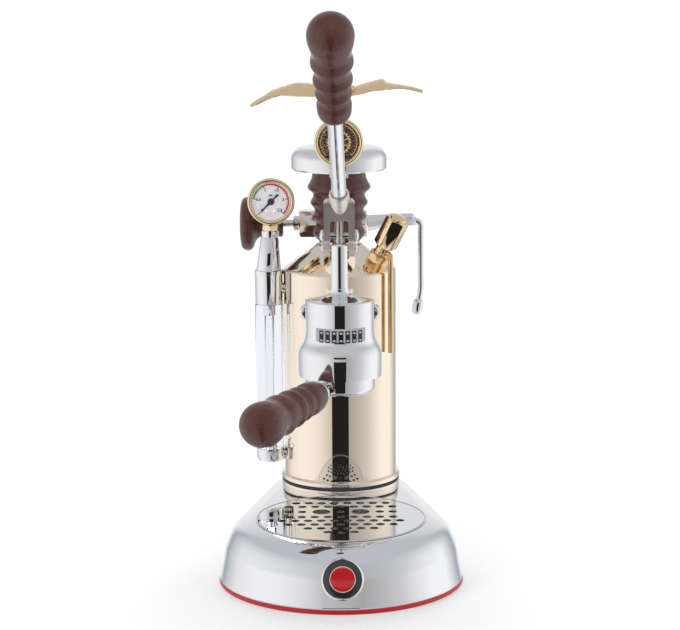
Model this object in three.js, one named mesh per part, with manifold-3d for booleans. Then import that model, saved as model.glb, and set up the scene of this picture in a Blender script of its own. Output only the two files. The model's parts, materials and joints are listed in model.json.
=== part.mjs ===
// Lever espresso machine: a chromed teardrop base with a drip tray, a gold-plated boiler, a lever
// group with a bottomless portafilter, a steam tap, a sight glass and two gauges.
// Millimetres. +X is right, -Y faces the user, +Z is up. The origin lies on the standing surface,
// under the axis of the boiler. Heights are above the standing surface unless a comment says otherwise.

import * as THREE from 'three';
import { mergeVertices } from 'three/addons/utils/BufferGeometryUtils.js';
import Module from 'manifold-3d';

const wasm = await Module();
wasm.setup();

const degree = Math.PI / 180;
const quarterTurn = 90;

// Clearances and working values
const seatGap = 0.3;
const runningGap = 0.35;
const cutOverrun = 2;
const weldTolerance = 0.0001;
const largeFacets = 20;
const mediumFacets = 16;
const smallFacets = 8;
const gaugeFacets = 20;

// Base shell, trim and bottom plate
const baseWidth = 200;
const baseRearRadius = 73;
const baseRearSetback = 1;
const groupReach = 85;
const trayReach = 122;
const baseHeight = 48.5;
const shoulderReach = 26;
const shellWall = 1.4;
const trimFoot = 0.4;
const plateThickness = 1.6;
const trimHeight = 3.4;
const trimWidth = 4;
const boilerSeatRadius = 43.5;
const frontArcFacets = 18;
const rearArcFacets = 10;
const shoulderSteps = 4;
const shoulderShares = [[0, 0], [0.26, 0.6], [0.29, 1], [1, 1]];

// Badge on the front of the base
const badgeRadius = 16.7;
const badgeRimWidth = 1.5;
const badgeInlayRadius = 9.7;
const badgeHeight = 27.5;
const badgeAzimuth = -quarterTurn + 0.6;
const badgeTilt = 12.5;
const badgeProud = 1.7;
const badgeSink = 3;
const badgeDiscDrop = 0.5;
const badgeInlayThickness = 0.3;

// Drip tray and grid
const trayRadius = 66;
const trayWall = 1;
const trayFloorHeight = 16;
const trayCorner = 4;
const trayWellGap = 1;
const trayRimRadius = 70.3;
const trayRimHeight = 2.7;
const trayRimBevel = 0.7;
const gridRadius = 68.2;
const gridThickness = 1.2;
const gridHoleRadius = 3.5;
const gridLargeHoleRadius = 7.4;
const gridHolePitch = 10.7;
const gridRowPitch = 11.4;
const gridLargeRowGap = 15.8;
const gridFirstRow = 45;
const gridHoleFacets = 6;
const gridLargeHoleFacets = 10;

// Boiler and what closes its foot
const boilerRadius = 48.6;
const boilerWall = 1.5;
const boilerShoulderHeight = 238.6;
const boilerShoulderRound = 4;
const coneTopRadius = 20.2;
const coneRise = 20.4;
const neckBoreRadius = 14.5;
const neckDepth = 6;
const collarRadius = 51.3;
const collarWidth = 6;
const collarHeight = 5.4;
const ringBevel = 0.8;
const gasketThickness = 1.4;
const gasketInset = 0.5;
const flangeHeight = 5.2;
const elementPlateThickness = 4;
const terminalRadius = 3;
const terminalLength = 9;
const terminalSpacing = 24;
const elementTubeRadius = 4;
const elementCoilRadius = 26;
const elementCoilHeight = 74;
const elementCoilRise = 12;
const elementSteps = 16;
const thermostatRadius = 8;
const thermostatHeight = 7;

// Filler cap with its turned column, dome and finial
const plugRadius = 13.9;
const plugDepth = 12;
const plugFlangeRadius = 17.6;
const plugFlangeHeight = 2.2;
const capGasketThickness = 0.8;
const columnHeight = 60.3;
const columnBeadRadius = 27;
const columnHeightShares = [0, 0.02, 0.1, 0.22, 0.33, 0.42, 0.525, 0.635, 0.735, 0.79, 0.93, 1];
const columnRadiusShares = [0.67, 0.71, 0.83, 0.733, 0.867, 0.774, 0.911, 0.819, 1, 0.97, 0.845, 0.845];
const domeRadius = 41;
const domeThickness = 19.3;
const domeCorner = 10.4;
const domeCrown = 1.8;
const domeLip = 1.6;
const finialPedestalRadius = 7;
const finialPedestalHeight = 9;
const eagleHeight = 64.5;
const eagleBodyRadius = 11.5;
const wingReach = 76;
const wingRise = 46.2;
const wingThickness = 1.8;
const wingDroop = 12.3;
const wingChord = 22;
const wingFrontHeight = 11.4;
const beakDip = 20;
const leftWingShares = [
  [-0.04, 0, 0.82], [0.29, -0.05, 0.97], [0.48, 0, 1], [0.66, -0.11, 0.66], [0.77, -0.32, 0.6],
  [0.86, -0.63, 0.47], [0.93, -0.85, 0.45], [1, -1.08, 0.27],
];
const rightWingShares = [
  [-0.04, 0, 0.8], [0.13, -0.18, 0.63], [0.26, 0.02, 0.76], [0.36, 0.2, 0.74], [0.48, 0.31, 0.86],
  [0.53, 0.2, 0.57], [0.66, 0.16, 0.35], [0.78, 0.03, 0.22], [0.91, -0.19, 0.15],
];

// Lever group: bell, bore, neck and lug
const bellLipHeight = 164.5;
const bellRadius = 34.7;
const bellSideHeight = 16.5;
const bellBoreRadius = 31.2;
const bellBoreDepth = 10.5;
const bellFlareHeight = 12.8;
const groupCylinderRadius = 28.3;
const groupCylinderHeight = 30.9;
const groupBoreRadius = 23.7;
const groupRoofThickness = 3.2;
const groupEdgeRound = 1.4;
const neckFootRise = 13.3;
const neckFootRadius = 7.15;
const neckHeight = 39.5;
const neckTopRadius = 6.25;
const rodBoreRadius = 4.9;
const lugThickness = 8;
const lugRadius = 6.5;
const lugFootDepth = 24;
const bayonetRampInner = 29.8;
const bayonetRampHeight = 2.6;
const bayonetRampSpan = 100;
const flangePortRadius = 6;
const flangeRise = 15.7;
const flangeEarRadius = 7.6;
const flangeEarReach = 26;
const flangeBossRadius = 17;
const flangeFrontReach = 7.6;
const boltHeadAcross = 9;
const boltHeadHeight = 4;
const boltRadius = 2.6;
const gasketBoreRadius = 24.6;
const groupGasketThickness = 2.7;
const screenThickness = 0.8;
const screenRimHeight = 2.4;
const screenHoleRadius = 1.2;
const screenHoleRing = 14;
const screenHoles = 4;
const stripHeight = 12.2;
const stripRise = 0.4;
const stripThickness = 0.5;
const stripSpan = 88;

// Piston, rod and the two pins
const pistonRadius = 22.9;
const pistonThickness = 12;
const pistonTopGap = 0.6;
const sealRadius = 23.2;
const sealDepth = 2.6;
const sealHeight = 2;
const sealSpacing = 5.4;
const rodRadius = 4.55;
const rodStudRadius = 3.4;
const rodUpperRadius = 3.7;
const rodTaperLength = 10;
const rodNutAcross = 10;
const rodNutHeight = 3.5;
const rodNutRecess = 4.4;
const rodAbovePin = 47.6;
const rodHexAcross = 15.2;
const rodHexHeight = 4.4;
const pinRadius = 2.5;
const pistonPinRise = 1.5;
const pistonPinHeadRadius = 5;
const pistonPinHeadLength = 3.3;
const fulcrumSetback = 21;
const fulcrumDrop = 13.3;
const fulcrumPinHeadRadius = 3.9;
const fulcrumPinHeadLength = 2.4;
const leverTravel = 69;
const pistonTravel = 29;

// Lever fork, arm and the turned handle
const forkWidth = 25.3;
const forkSlotWidth = 15;
const forkEyeRadius = 7.5;
const forkBridgeRise = 30;
const forkBridgeReach = 26.5;
const forkBridgeRadius = 5.5;
const forkSlotTop = 26.8;
const forkSlotRound = 3;
const forkShoulderReach = 30.7;
const forkShoulderRise = 47;
const forkShoulderRound = 4.5;
const rodClearance = 1.2;
const pinSlotPlay = 0.7;
const socketRadius = 8.2;
const socketFootRadius = 9;
const socketLength = 25;
const socketRimReach = 38;
const socketRimRise = 50.3;
const armRadius = 6;
const armSpigotRadius = 4.2;
const armSpigotLength = 10;
const leverElevation = 48.4;
const leverLean = 1.84;
const leverReach = 179.2;
const handleBallRadius = 18.3;
const handleLength = 95.5;
const handleEndRound = 0.8;
const handleBoreDepth = 14;
const handleStationShares = [
  0.1, 0.19, 0.25, 0.31, 0.4, 0.445, 0.49, 0.555, 0.595, 0.64, 0.71, 0.77, 0.85, 0.92, 0.97,
];
const handleRadiusShares = [
  0.925, 0.85, 0.9, 0.905, 0.78, 0.83, 0.83, 0.74, 0.775, 0.77, 0.7, 0.75, 0.74, 0.68, 0.57,
];
const handleEndShare = 0.44;
const ballStationShares = [-0.94, -0.72, -0.4, 0];
const ballRadiusShares = [0.42, 0.74, 0.94, 1];

// Gauges: both have the same case
const gaugeRadius = 20;
const gaugeCaseRadius = 18.4;
const gaugeDialRadius = 16.2;
const gaugeDepth = 18;
const gaugeBezelDepth = 5;
const gaugeBezelRound = 1;
const gaugeRecess = 4.2;
const gaugeDialThickness = 0.6;
const gaugeNeedleThickness = 0.6;
const gaugeNeedleLength = 14.6;
const gaugeNeedleTail = 8.4;
const gaugeNeedleWidth = 1.1;
const gaugeHubRadius = 3;
const gaugeLensThickness = 0.8;
const gaugeStemRadius = 4.2;
const groupGaugeNeedleAngle = 207;
const boilerGaugeNeedleAngle = 225;
const groupGaugeStemLength = 4.6;
const boilerGaugeStemLength = 5.1;
const boilerGaugeHexAcross = 12.6;
const boilerGaugeHexHeight = 4.9;

// Portafilter
const portafilterRadius = 29.3;
const portafilterDrop = 13;
const portafilterBore = 26.4;
const portafilterRound = 3.5;
const portafilterTopGap = 4.4;
const lugSpan = 44;
const lugReach = 30.7;
const lugHeight = 2.7;
const lugLead = 5;
const basketRadius = 26;
const basketWall = 0.8;
const basketRise = 1.9;
const basketRimRadius = 28.8;
const basketRimThickness = 0.8;
const basketHoleRadius = 1.1;
const basketHoleRing = 15;
const basketHoles = 4;
const handleAzimuth = 26.8;
const handleDroop = 3.5;
const handleAxisRise = 5.5;
const ferruleRadius = 6.9;
const ferruleEndRadius = 8.2;
const handleStart = 39;
const ferruleSpigotRadius = 4.2;

// Steam tap
const tapSetback = 38;
const tapRise = 12.6;
const tapHexAcross = 22.4;
const tapHexLeft = 34.8;
const tapHexRight = 23.9;
const tapStubRadius = 7;
const spindleRadius = 3.2;
const spindleCollarRadius = 6.6;
const spindleCollarLength = 4.6;
const knobHubEnd = 48.7;
const knobHubRadius = 11.6;
const knobDiscStart = 71;
const knobDiscRadius = 23.4;
const knobEnd = 86.6;
const knobBoreDepth = 12;
const armRootRadius = 7.3;
const armTipRadius = 3.8;
const armTipReach = 62;
const armTipRise = 3.4;
const wandNutAcross = 7.6;
const wandNutLength = 7;
const wandNutEnd = 64.6;
const wandAxisDrop = 2.3;
const wandRadius = 2.4;
const wandReach = 69.5;
const wandBend = 4.5;
const wandKneeDrop = 57;
const wandTipReach = 67.4;
const wandTipDrop = 69;
const wandTipRadius = 4.6;
const wandTipLength = 11;
const wandSteps = 13;

// Sight glass beside the boiler
const sightOffset = 60.4;
const sightForward = 8;
const sightRadius = 11.9;
const sightShieldWall = 1.3;
const sightFootHeight = 71.5;
const sightFootLength = 12.2;
const sightShieldLength = 125.3;
const sightHeadLength = 25.5;
const sightBandHeight = 4.5;
const sightBandRadius = 12.3;
const sightConeRadius = 10.5;
const sightConeTopRadius = 7.5;
const sightConeHeight = 27.8;
const sightCollarRadius = 7.4;
const sightCollarHeight = 5.6;
const sightLean = 2.7;
const sightTubeRadius = 4;
const sightTubeWall = 1.1;
const sightGlandRadius = 5.2;
const sightGlandDrop = 10;
const sightGlandRise = 7;
const sightBranchRadius = 4.8;
const sightUpperBranchRise = 13;
const sightLowerBranchRise = 5.5;

// Safety valve on the cone of the boiler
const valveAzimuth = 33;
const valveRadialPlace = 33.8;
const valveCapAcross = 22.4;
const valveCapLength = 26.4;
const valveCapBevel = 1;
const valveCrownRadius = 8;
const valveCrownHeight = 3;
const valveBaseAcross = 16.5;
const valveBaseLength = 8.7;
const valveNeckRadius = 6.7;
const valveNeckLength = 8.3;
const pipeRadius = 2.25;
const pipeReach = 41.8;
const pipeFootDrop = 85.3;
const pipeForward = 30.6;
const pipeElbowDrop = 10;
const pipeElbowShare = 0.7;
const pipeRootReach = 39.5;
const pipeRootForward = 25.7;
const pipeRootDrop = 3.6;
const pipeSteps = 11;

// Power switch and cord gland at the back of the base
const switchAzimuth = 132;
const switchHeight = 27;
const switchFrameWidth = 15;
const switchFrameHeight = 24;
const switchFrameProud = 1.8;
const switchHousingDepth = 12;
const switchWindowWidth = 10.6;
const switchWindowHeight = 19.6;
const switchWall = 1.2;
const rockerDepth = 5.2;
const rockerPivotDepth = 1.2;
const rockerDish = 1.3;
const rockerProud = 2.6;
const rockerTilt = 7;
const rockerSideGap = 0.4;
const rockerEndGap = 0.9;
const glandHeight = 24;
const glandAzimuth = quarterTurn;
const glandRadius = 6;
const glandFlangeRadius = 9;
const glandLength = 16;
const glandTipRadius = 5;
const glandBoreRadius = 3.4;

// Derived places shared by several pieces
const frontRadius = baseWidth / 2;
const shellFoot = trimFoot + trimHeight + seatGap;
const plateInset = trimWidth + seatGap;
const collarFoot = baseHeight + seatGap;
const gasketFoot = collarFoot + collarHeight + seatGap;
const boilerFoot = gasketFoot + gasketThickness + seatGap;
const coneTopHeight = boilerShoulderHeight + coneRise;
const coneSlope = coneRise / (boilerRadius - coneTopRadius);
const capGasketFoot = coneTopHeight + seatGap;
const plugFlangeFoot = capGasketFoot + capGasketThickness + seatGap;
const columnFoot = plugFlangeFoot + plugFlangeHeight + seatGap;
const columnTopHeight = columnFoot + columnHeight;
const domeFoot = columnTopHeight + seatGap;
const domeTop = domeFoot + domeThickness;
const bellShoulderHeight = bellLipHeight + bellSideHeight;
const bellSeatHeight = bellLipHeight + bellBoreDepth;
const groupCylinderFoot = bellShoulderHeight + bellFlareHeight;
const groupRimHeight = groupCylinderFoot + groupCylinderHeight;
const groupBoreTop = groupRimHeight - groupRoofThickness;
const neckFootHeight = groupRimHeight + neckFootRise;
const neckTopHeight = neckFootHeight + neckHeight;
const flangeHeightCentre = groupCylinderFoot + flangeRise;
const stripFoot = groupCylinderFoot + stripRise;
const pistonTop = groupBoreTop - pistonTopGap;
const pistonFoot = pistonTop - pistonThickness;
const pistonPinHeight = neckTopHeight + pistonPinRise;
const fulcrumHeight = pistonPinHeight - fulcrumDrop;
const rodTopHeight = pistonPinHeight + rodAbovePin;
const groupGaugeHeight = rodTopHeight + rodHexHeight + seatGap + groupGaugeStemLength + gaugeRadius;
const forkHalf = forkWidth / 2;
const portafilterFoot = bellLipHeight - portafilterDrop;
const basketFoot = portafilterFoot + basketRise;
const handleAxisHeight = portafilterFoot + handleAxisRise;
const tapHeight = coneTopHeight + tapRise;
const sightFootTop = sightFootHeight + sightFootLength;
const sightShieldTop = sightFootTop + sightShieldLength;
const sightHeadTop = sightShieldTop + sightHeadLength;
const sightBandTop = sightHeadTop + sightBandHeight;
const sightConeTop = sightBandTop + sightConeHeight;
const sightCollarTop = sightConeTop + sightCollarHeight;
const sightUpperBranch = sightShieldTop + sightUpperBranchRise;
const sightLowerBranch = sightFootHeight + sightLowerBranchRise;
const boilerGaugeHeight = sightCollarTop + seatGap + boilerGaugeStemLength + gaugeRadius;
const pipeFoot = coneTopHeight - pipeFootDrop;
const pipeElbowHeight = coneTopHeight - pipeElbowDrop;
const pipeRootHeight = coneTopHeight - pipeRootDrop;

// Shape helpers

// Welds shared vertices, drops collapsed triangles and keeps only positions.
function weld(geometry) {
  const bare = geometry.clone();
  bare.deleteAttribute('normal');
  bare.deleteAttribute('uv');
  const welded = mergeVertices(bare, weldTolerance);
  const corners = welded.index.array;
  const kept = [];
  for (let i = 0; i < corners.length; i += 3) {
    const [a, b, c] = [corners[i], corners[i + 1], corners[i + 2]];
    if (a !== b && b !== c && c !== a) kept.push(a, b, c);
  }
  welded.clearGroups();
  welded.setIndex(kept);
  return welded;
}

function solidOf(shape) {
  if (!shape.isBufferGeometry) return shape;
  const welded = weld(shape);
  const mesh = new wasm.Mesh({
    numProp: 3,
    vertProperties: new Float32Array(welded.attributes.position.array),
    triVerts: new Uint32Array(welded.index.array),
  });
  return new wasm.Manifold(mesh);
}

function geometryOf(shape) {
  if (shape.isBufferGeometry) return weld(shape);
  const mesh = shape.getMesh();
  const geometry = new THREE.BufferGeometry();
  geometry.setAttribute('position', new THREE.BufferAttribute(new Float32Array(mesh.vertProperties), 3));
  geometry.setIndex(new THREE.BufferAttribute(new Uint32Array(mesh.triVerts), 1));
  return geometry;
}

function cut(body, ...tools) {
  return tools.reduce((rest, tool) => rest.subtract(solidOf(tool)), solidOf(body));
}

function join(body, ...others) {
  return others.reduce((sum, other) => sum.add(solidOf(other)), solidOf(body));
}

// A shape turned about Z from a closed run of [radius, height] points.
function turned(profile, facets) {
  let doubleArea = 0;
  profile.forEach(([radius, height], i) => {
    const [nextRadius, nextHeight] = profile[(i + 1) % profile.length];
    doubleArea += radius * nextHeight - nextRadius * height;
  });
  const loop = doubleArea > 0 ? [...profile] : [...profile].reverse();
  loop.push(loop[0]);
  const geometry = new THREE.LatheGeometry(
    loop.map(([radius, height]) => new THREE.Vector2(radius, height)), facets,
  );
  return geometry.rotateX(Math.PI / 2);
}

function cylinder(radius, low, high, facets = mediumFacets) {
  return turned([[0, low], [radius, low], [radius, high], [0, high]], facets);
}

function ring(inner, outer, low, high, facets = mediumFacets) {
  return turned([[inner, low], [outer, low], [outer, high], [inner, high]], facets);
}

// A six-sided bar about Z, with flats that face +X and -X.
function hexBar(across, low, high) {
  const corner = across / Math.sqrt(3);
  return new THREE.CylinderGeometry(corner, corner, high - low, 6)
    .rotateX(Math.PI / 2)
    .rotateZ(Math.PI / 6)
    .translate(0, 0, (low + high) / 2);
}

function block(width, depth, height, x, y, z) {
  return new THREE.BoxGeometry(width, depth, height).translate(x, y, z);
}

// A flat outline in X and Y, raised from one height to another.
function raised(shape, low, high, curveSegments = mediumFacets) {
  const options = { depth: high - low, bevelEnabled: false, curveSegments };
  return new THREE.ExtrudeGeometry(shape, options).translate(0, 0, low);
}

// Turns a shape built on X, Y and Z so that its Z runs along X, or along -Y.
const alongX = (geometry) => geometry.rotateY(Math.PI / 2);
const facingFront = (geometry) => geometry.rotateX(Math.PI / 2);

// An outline given as [y, z] points, extruded across X between two sides.
function sidePlate(points, left, right) {
  const shape = new THREE.Shape(points.map(([y, z]) => new THREE.Vector2(y, z)));
  return raised(shape, left, right).rotateX(Math.PI / 2).rotateZ(Math.PI / 2);
}

// Points round a circle in a plane.
function circlePoints([x, y], radius, count) {
  return Array.from({ length: count }, (unused, i) => {
    const angle = (i / count) * 2 * Math.PI;
    return [x + radius * Math.cos(angle), y + radius * Math.sin(angle)];
  });
}

// The convex outline round a set of [x, y] points.
function hull(points) {
  const sorted = [...points].sort((p, q) => p[0] - q[0] || p[1] - q[1]);
  const turn = (o, a, b) => (a[0] - o[0]) * (b[1] - o[1]) - (a[1] - o[1]) * (b[0] - o[0]);
  const half = (list) => {
    const chain = [];
    list.forEach((point) => {
      while (chain.length > 1 && turn(...chain.slice(-2), point) <= 0) chain.pop();
      chain.push(point);
    });
    chain.pop();
    return chain;
  };
  return [...half(sorted), ...half(sorted.reverse())];
}

// A round bar along a smooth curve.
function tubeAlong(curve, radius, steps, sides) {
  const outline = new THREE.Shape();
  outline.absarc(0, 0, radius, 0, 2 * Math.PI);
  const options = { steps, extrudePath: curve, curveSegments: sides, bevelEnabled: false };
  return new THREE.ExtrudeGeometry(outline, options);
}

// A closed skin through rings of equal length, each ring running the same way round.
function loft(rings) {
  const count = rings[0].length;
  const positions = rings.flat().flatMap((point) => [point.x, point.y, point.z]);
  const corners = [];
  const last = (rings.length - 1) * count;
  for (let k = 0; k + 1 < rings.length; k++) {
    for (let i = 0; i < count; i++) {
      const next = (i + 1) % count;
      const [a, b] = [k * count + i, k * count + next];
      corners.push(a, b, b + count, a, b + count, a + count);
    }
  }
  [rings[0], rings[rings.length - 1]].forEach((end, side) => {
    const centre = positions.length / 3;
    const middle = end.reduce((sum, point) => sum.add(point), new THREE.Vector3()).divideScalar(count);
    positions.push(middle.x, middle.y, middle.z);
    for (let i = 0; i < count; i++) {
      const next = (i + 1) % count;
      if (side === 0) corners.push(centre, next, i);
      else corners.push(centre, last + i, last + next);
    }
  });
  const geometry = new THREE.BufferGeometry();
  geometry.setAttribute('position', new THREE.Float32BufferAttribute(positions, 3));
  geometry.setIndex(corners);
  return geometry;
}

// Points of a quarter round in a profile, from one angle to another.
function arcPoints(radius, height, size, from, to, steps) {
  return Array.from({ length: steps + 1 }, (unused, i) => {
    const angle = (from + ((to - from) * i) / steps) * degree;
    return [radius + size * Math.cos(angle), height + size * Math.sin(angle)];
  });
}

// A sector of a ring about Z, between two angles in degrees.
function ringSector(inner, outer, from, to, low, high, facets = smallFacets) {
  const shape = new THREE.Shape();
  shape.absarc(0, 0, outer, from * degree, to * degree, false);
  shape.absarc(0, 0, inner, to * degree, from * degree, true);
  return raised(shape, low, high, facets);
}

// Finishes: colour, roughness and metalness
const chrome = ['#dcdde0', 0.06, 1];
const gold = ['#e8c385', 0.12, 1];
const nickel = ['#b9b1a7', 0.32, 1];
const steel = ['#c2c4c6', 0.28, 1];
const brass = ['#c9a24e', 0.3, 1];
const wood = ['#6b3a33', 0.35, 0];
const redTrim = ['#c8161d', 0.35, 0];
const blackPlastic = ['#1b1b1d', 0.45, 0];
const darkRubber = ['#2d3340', 0.7, 0];
const whiteSeal = ['#d9d5cc', 0.6, 0];
const dialWhite = ['#e9e7ec', 0.5, 0];
const dialBronze = ['#4a342c', 0.5, 0.4];
const needleRed = ['#d6222a', 0.5, 0];
const clearGlass = ['#eef3f6', 0.03, 0];
const stripGrey = ['#9fa3a8', 0.5, 0];

const machine = new THREE.Group();

function piece(name, shape, [colour, roughness, metalness], parent = machine) {
  const geometry = geometryOf(shape);
  geometry.computeVertexNormals();
  const mesh = new THREE.Mesh(
    geometry, new THREE.MeshStandardMaterial({ color: colour, roughness, metalness }),
  );
  mesh.name = name;
  parent.add(mesh);
  return mesh;
}

function frameAt(x, y, z, parent = machine) {
  const frame = new THREE.Group();
  frame.position.set(x, y, z);
  parent.add(frame);
  return frame;
}

// Base

const baseTaper = Math.asin((frontRadius - baseRearRadius) / (trayReach - baseRearSetback));

// The teardrop plan of the base, drawn in by an inset, as a ring at one height.
function teardrop(inset, height) {
  const arc = (centreY, radius, from, to, steps) => Array.from({ length: steps + 1 }, (unused, i) => {
    const angle = from + ((to - from) * i) / steps;
    return new THREE.Vector3(radius * Math.cos(angle), centreY + radius * Math.sin(angle), height);
  });
  const rear = arc(-baseRearSetback, baseRearRadius - inset, baseTaper, Math.PI - baseTaper, rearArcFacets);
  const front = arc(
    -trayReach, frontRadius - inset, Math.PI - baseTaper, 2 * Math.PI + baseTaper, frontArcFacets,
  );
  return [...rear, ...front];
}

// The pressed side of the base: how far it draws in as it rises to the plateau.
const sideCurve = new THREE.CubicBezierCurve(...shoulderShares.map(([inward, upward]) => (
  new THREE.Vector2(inward * shoulderReach, shellFoot + upward * (baseHeight - shellFoot))
)));

function baseBody(growth) {
  const sides = sideCurve.getPoints(shoulderSteps);
  return loft(sides.map(({ x, y }) => teardrop(x - growth, y + Math.min(growth, 0))));
}

function makeBase() {
  const underside = sideCurve.getPoints(shoulderSteps)
    .map(({ x, y }) => teardrop(x + shellWall, y - shellWall));
  const well = cylinder(trayRadius + trayWellGap, shellFoot, baseHeight + cutOverrun, largeFacets)
    .translate(0, -trayReach, 0);
  const seat = cylinder(boilerSeatRadius, shellFoot, baseHeight + cutOverrun, mediumFacets);
  const switchHole = block(
    switchWindowWidth + 2 * (switchWall + seatGap),
    switchWindowHeight + 2 * (switchWall + seatGap),
    2 * switchHousingDepth, 0, 0, 0,
  ).applyMatrix4(stationMatrix(-baseRearSetback, baseRearRadius, switchAzimuth, switchHeight));
  const glandHole = cylinder(glandRadius + seatGap, -cutOverrun * 4, cutOverrun * 4, smallFacets)
    .applyMatrix4(stationMatrix(-baseRearSetback, baseRearRadius, glandAzimuth, glandHeight));
  piece('base_shell', cut(baseBody(0), loft(underside), well, seat, switchHole, glandHole), chrome);

  const trimRings = [teardrop(0, trimFoot), teardrop(0, trimFoot + trimHeight)];
  const trimBore = [
    teardrop(trimWidth, trimFoot - cutOverrun), teardrop(trimWidth, trimFoot + trimHeight + cutOverrun),
  ];
  piece('base_trim_ring', cut(loft(trimRings), loft(trimBore)), redTrim);

  piece('bottom_plate', loft([teardrop(plateInset, 0), teardrop(plateInset, plateThickness)]), blackPlastic);
}

// The inset of the pressed side at a height, read off its curve.
function insetAt(height) {
  const samples = sideCurve.getPoints(shoulderSteps * shoulderSteps * shoulderSteps);
  return samples.find((point) => point.y >= height).x;
}

// A frame on the pressed side: +Z leaves the surface, +Y climbs it.
function stationMatrix(centreY, radius, azimuth, height) {
  const angle = azimuth * degree;
  const reach = radius - insetAt(height);
  const outward = new THREE.Vector3(Math.cos(angle), Math.sin(angle), 0)
    .multiplyScalar(Math.cos(badgeTilt * degree));
  outward.z = Math.sin(badgeTilt * degree);
  const sideways = new THREE.Vector3(-Math.sin(angle), Math.cos(angle), 0);
  const climbing = new THREE.Vector3().crossVectors(outward, sideways);
  const matrix = new THREE.Matrix4().makeBasis(sideways, climbing, outward);
  return matrix.setPosition(reach * Math.cos(angle), centreY + reach * Math.sin(angle), height);
}

function stationFrame(...place) {
  const frame = new THREE.Group();
  frame.applyMatrix4(stationMatrix(...place));
  machine.add(frame);
  return frame;
}

// The base, grown by the seat gap, in the frame of a piece that sits on its side.
function baseSeen(matrix) {
  return baseBody(seatGap).applyMatrix4(matrix.clone().invert());
}

function makeBadge() {
  const place = [-trayReach, frontRadius, badgeAzimuth, badgeHeight];
  const frame = stationFrame(...place);
  const bodySeen = baseSeen(stationMatrix(...place));
  const boreRadius = badgeRadius - badgeRimWidth;
  const bezel = turned([
    [boreRadius, -badgeSink], [badgeRadius, -badgeSink], [badgeRadius, badgeProud - badgeRimWidth / 2],
    [badgeRadius - badgeRimWidth / 2, badgeProud], [boreRadius, badgeProud - badgeRimWidth / 2],
  ], mediumFacets);
  piece('badge_bezel', cut(bezel, bodySeen), chrome, frame);

  const discRadius = boreRadius - seatGap;
  const discTop = badgeProud - badgeDiscDrop;
  const disc = turned([
    [0, -badgeSink], [discRadius, -badgeSink], [discRadius, discTop], [badgeInlayRadius, discTop],
    [badgeInlayRadius, discTop + badgeInlayThickness], [0, discTop + badgeInlayThickness],
  ], mediumFacets);
  piece('badge_disc', cut(disc, bodySeen), redTrim, frame);
}

// Drip tray and grid

// Places of the round holes: rows from back to front, each with its holes across.
function gridHoles() {
  const spread = (count) => Array.from(
    { length: count }, (unused, i) => (i - (count - 1) / 2) * gridHolePitch,
  );
  const sides = [-4, -3, 0, 3, 4].map((step) => step * gridHolePitch);
  const rows = [spread(8), spread(9), sides, spread(9), spread(10), spread(9), spread(6), spread(3)];
  const holes = [];
  let y = gridFirstRow;
  rows.forEach((row, i) => {
    row.forEach((x) => holes.push([x, y, gridHoleRadius, gridHoleFacets]));
    if (i === 2) {
      [-1.5, 1.5].forEach(
        (step) => holes.push([step * gridHolePitch, y, gridLargeHoleRadius, gridLargeHoleFacets]),
      );
    }
    y -= i === 1 || i === 2 ? gridLargeRowGap : gridRowPitch;
  });
  return holes;
}

function makeTray() {
  const rimFoot = baseHeight + seatGap;
  const rimTop = rimFoot + trayRimHeight;
  const gridFoot = rimTop - gridThickness - seatGap;
  const stepHeight = gridFoot - seatGap;
  const frame = frameAt(0, -trayReach, 0);
  const innerRadius = trayRadius - trayWall;
  const tray = turned([
    [0, trayFloorHeight], [trayRadius - trayCorner, trayFloorHeight],
    [trayRadius, trayFloorHeight + trayCorner],
    [trayRadius, rimFoot], [trayRimRadius, rimFoot], [trayRimRadius, rimTop - trayRimBevel],
    [trayRimRadius - trayRimBevel, rimTop], [gridRadius + seatGap, rimTop],
    [gridRadius + seatGap, stepHeight],
    [innerRadius, stepHeight], [innerRadius, trayFloorHeight + trayCorner],
    [innerRadius - trayCorner + trayWall, trayFloorHeight + trayWall], [0, trayFloorHeight + trayWall],
  ], largeFacets);
  piece('drip_tray', tray, steel, frame);

  const plate = new THREE.Shape(
    circlePoints([0, 0], gridRadius, largeFacets).map((point) => new THREE.Vector2(...point)),
  );
  gridHoles().forEach(([x, y, radius, facets]) => {
    plate.holes.push(
      new THREE.Path(circlePoints([x, y], radius, facets).map((point) => new THREE.Vector2(...point))),
    );
  });
  piece('drip_grid', raised(plate, gridFoot, gridFoot + gridThickness, largeFacets), chrome, frame);
}

// Boiler

const coneNormal = new THREE.Vector2(coneSlope, 1).normalize();

// The outside of the boiler as a profile, grown by a gap.
function boilerOutside(growth) {
  const side = boilerRadius + growth;
  const slopeAngle = Math.atan2(coneNormal.y, coneNormal.x) / degree;
  const roundHeight = boilerShoulderHeight - boilerShoulderRound / 2;
  const round = arcPoints(
    boilerRadius - boilerShoulderRound, roundHeight, boilerShoulderRound + growth, 0, slopeAngle, 2,
  );
  return [[side, boilerFoot - growth], ...round, [coneTopRadius + growth / 2, coneTopHeight + growth]];
}

function boilerSeen(growth = seatGap) {
  const outside = boilerOutside(growth);
  const [, top] = outside[outside.length - 1];
  return turned([[0, boilerFoot - growth], ...outside, [0, top]], largeFacets);
}

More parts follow.
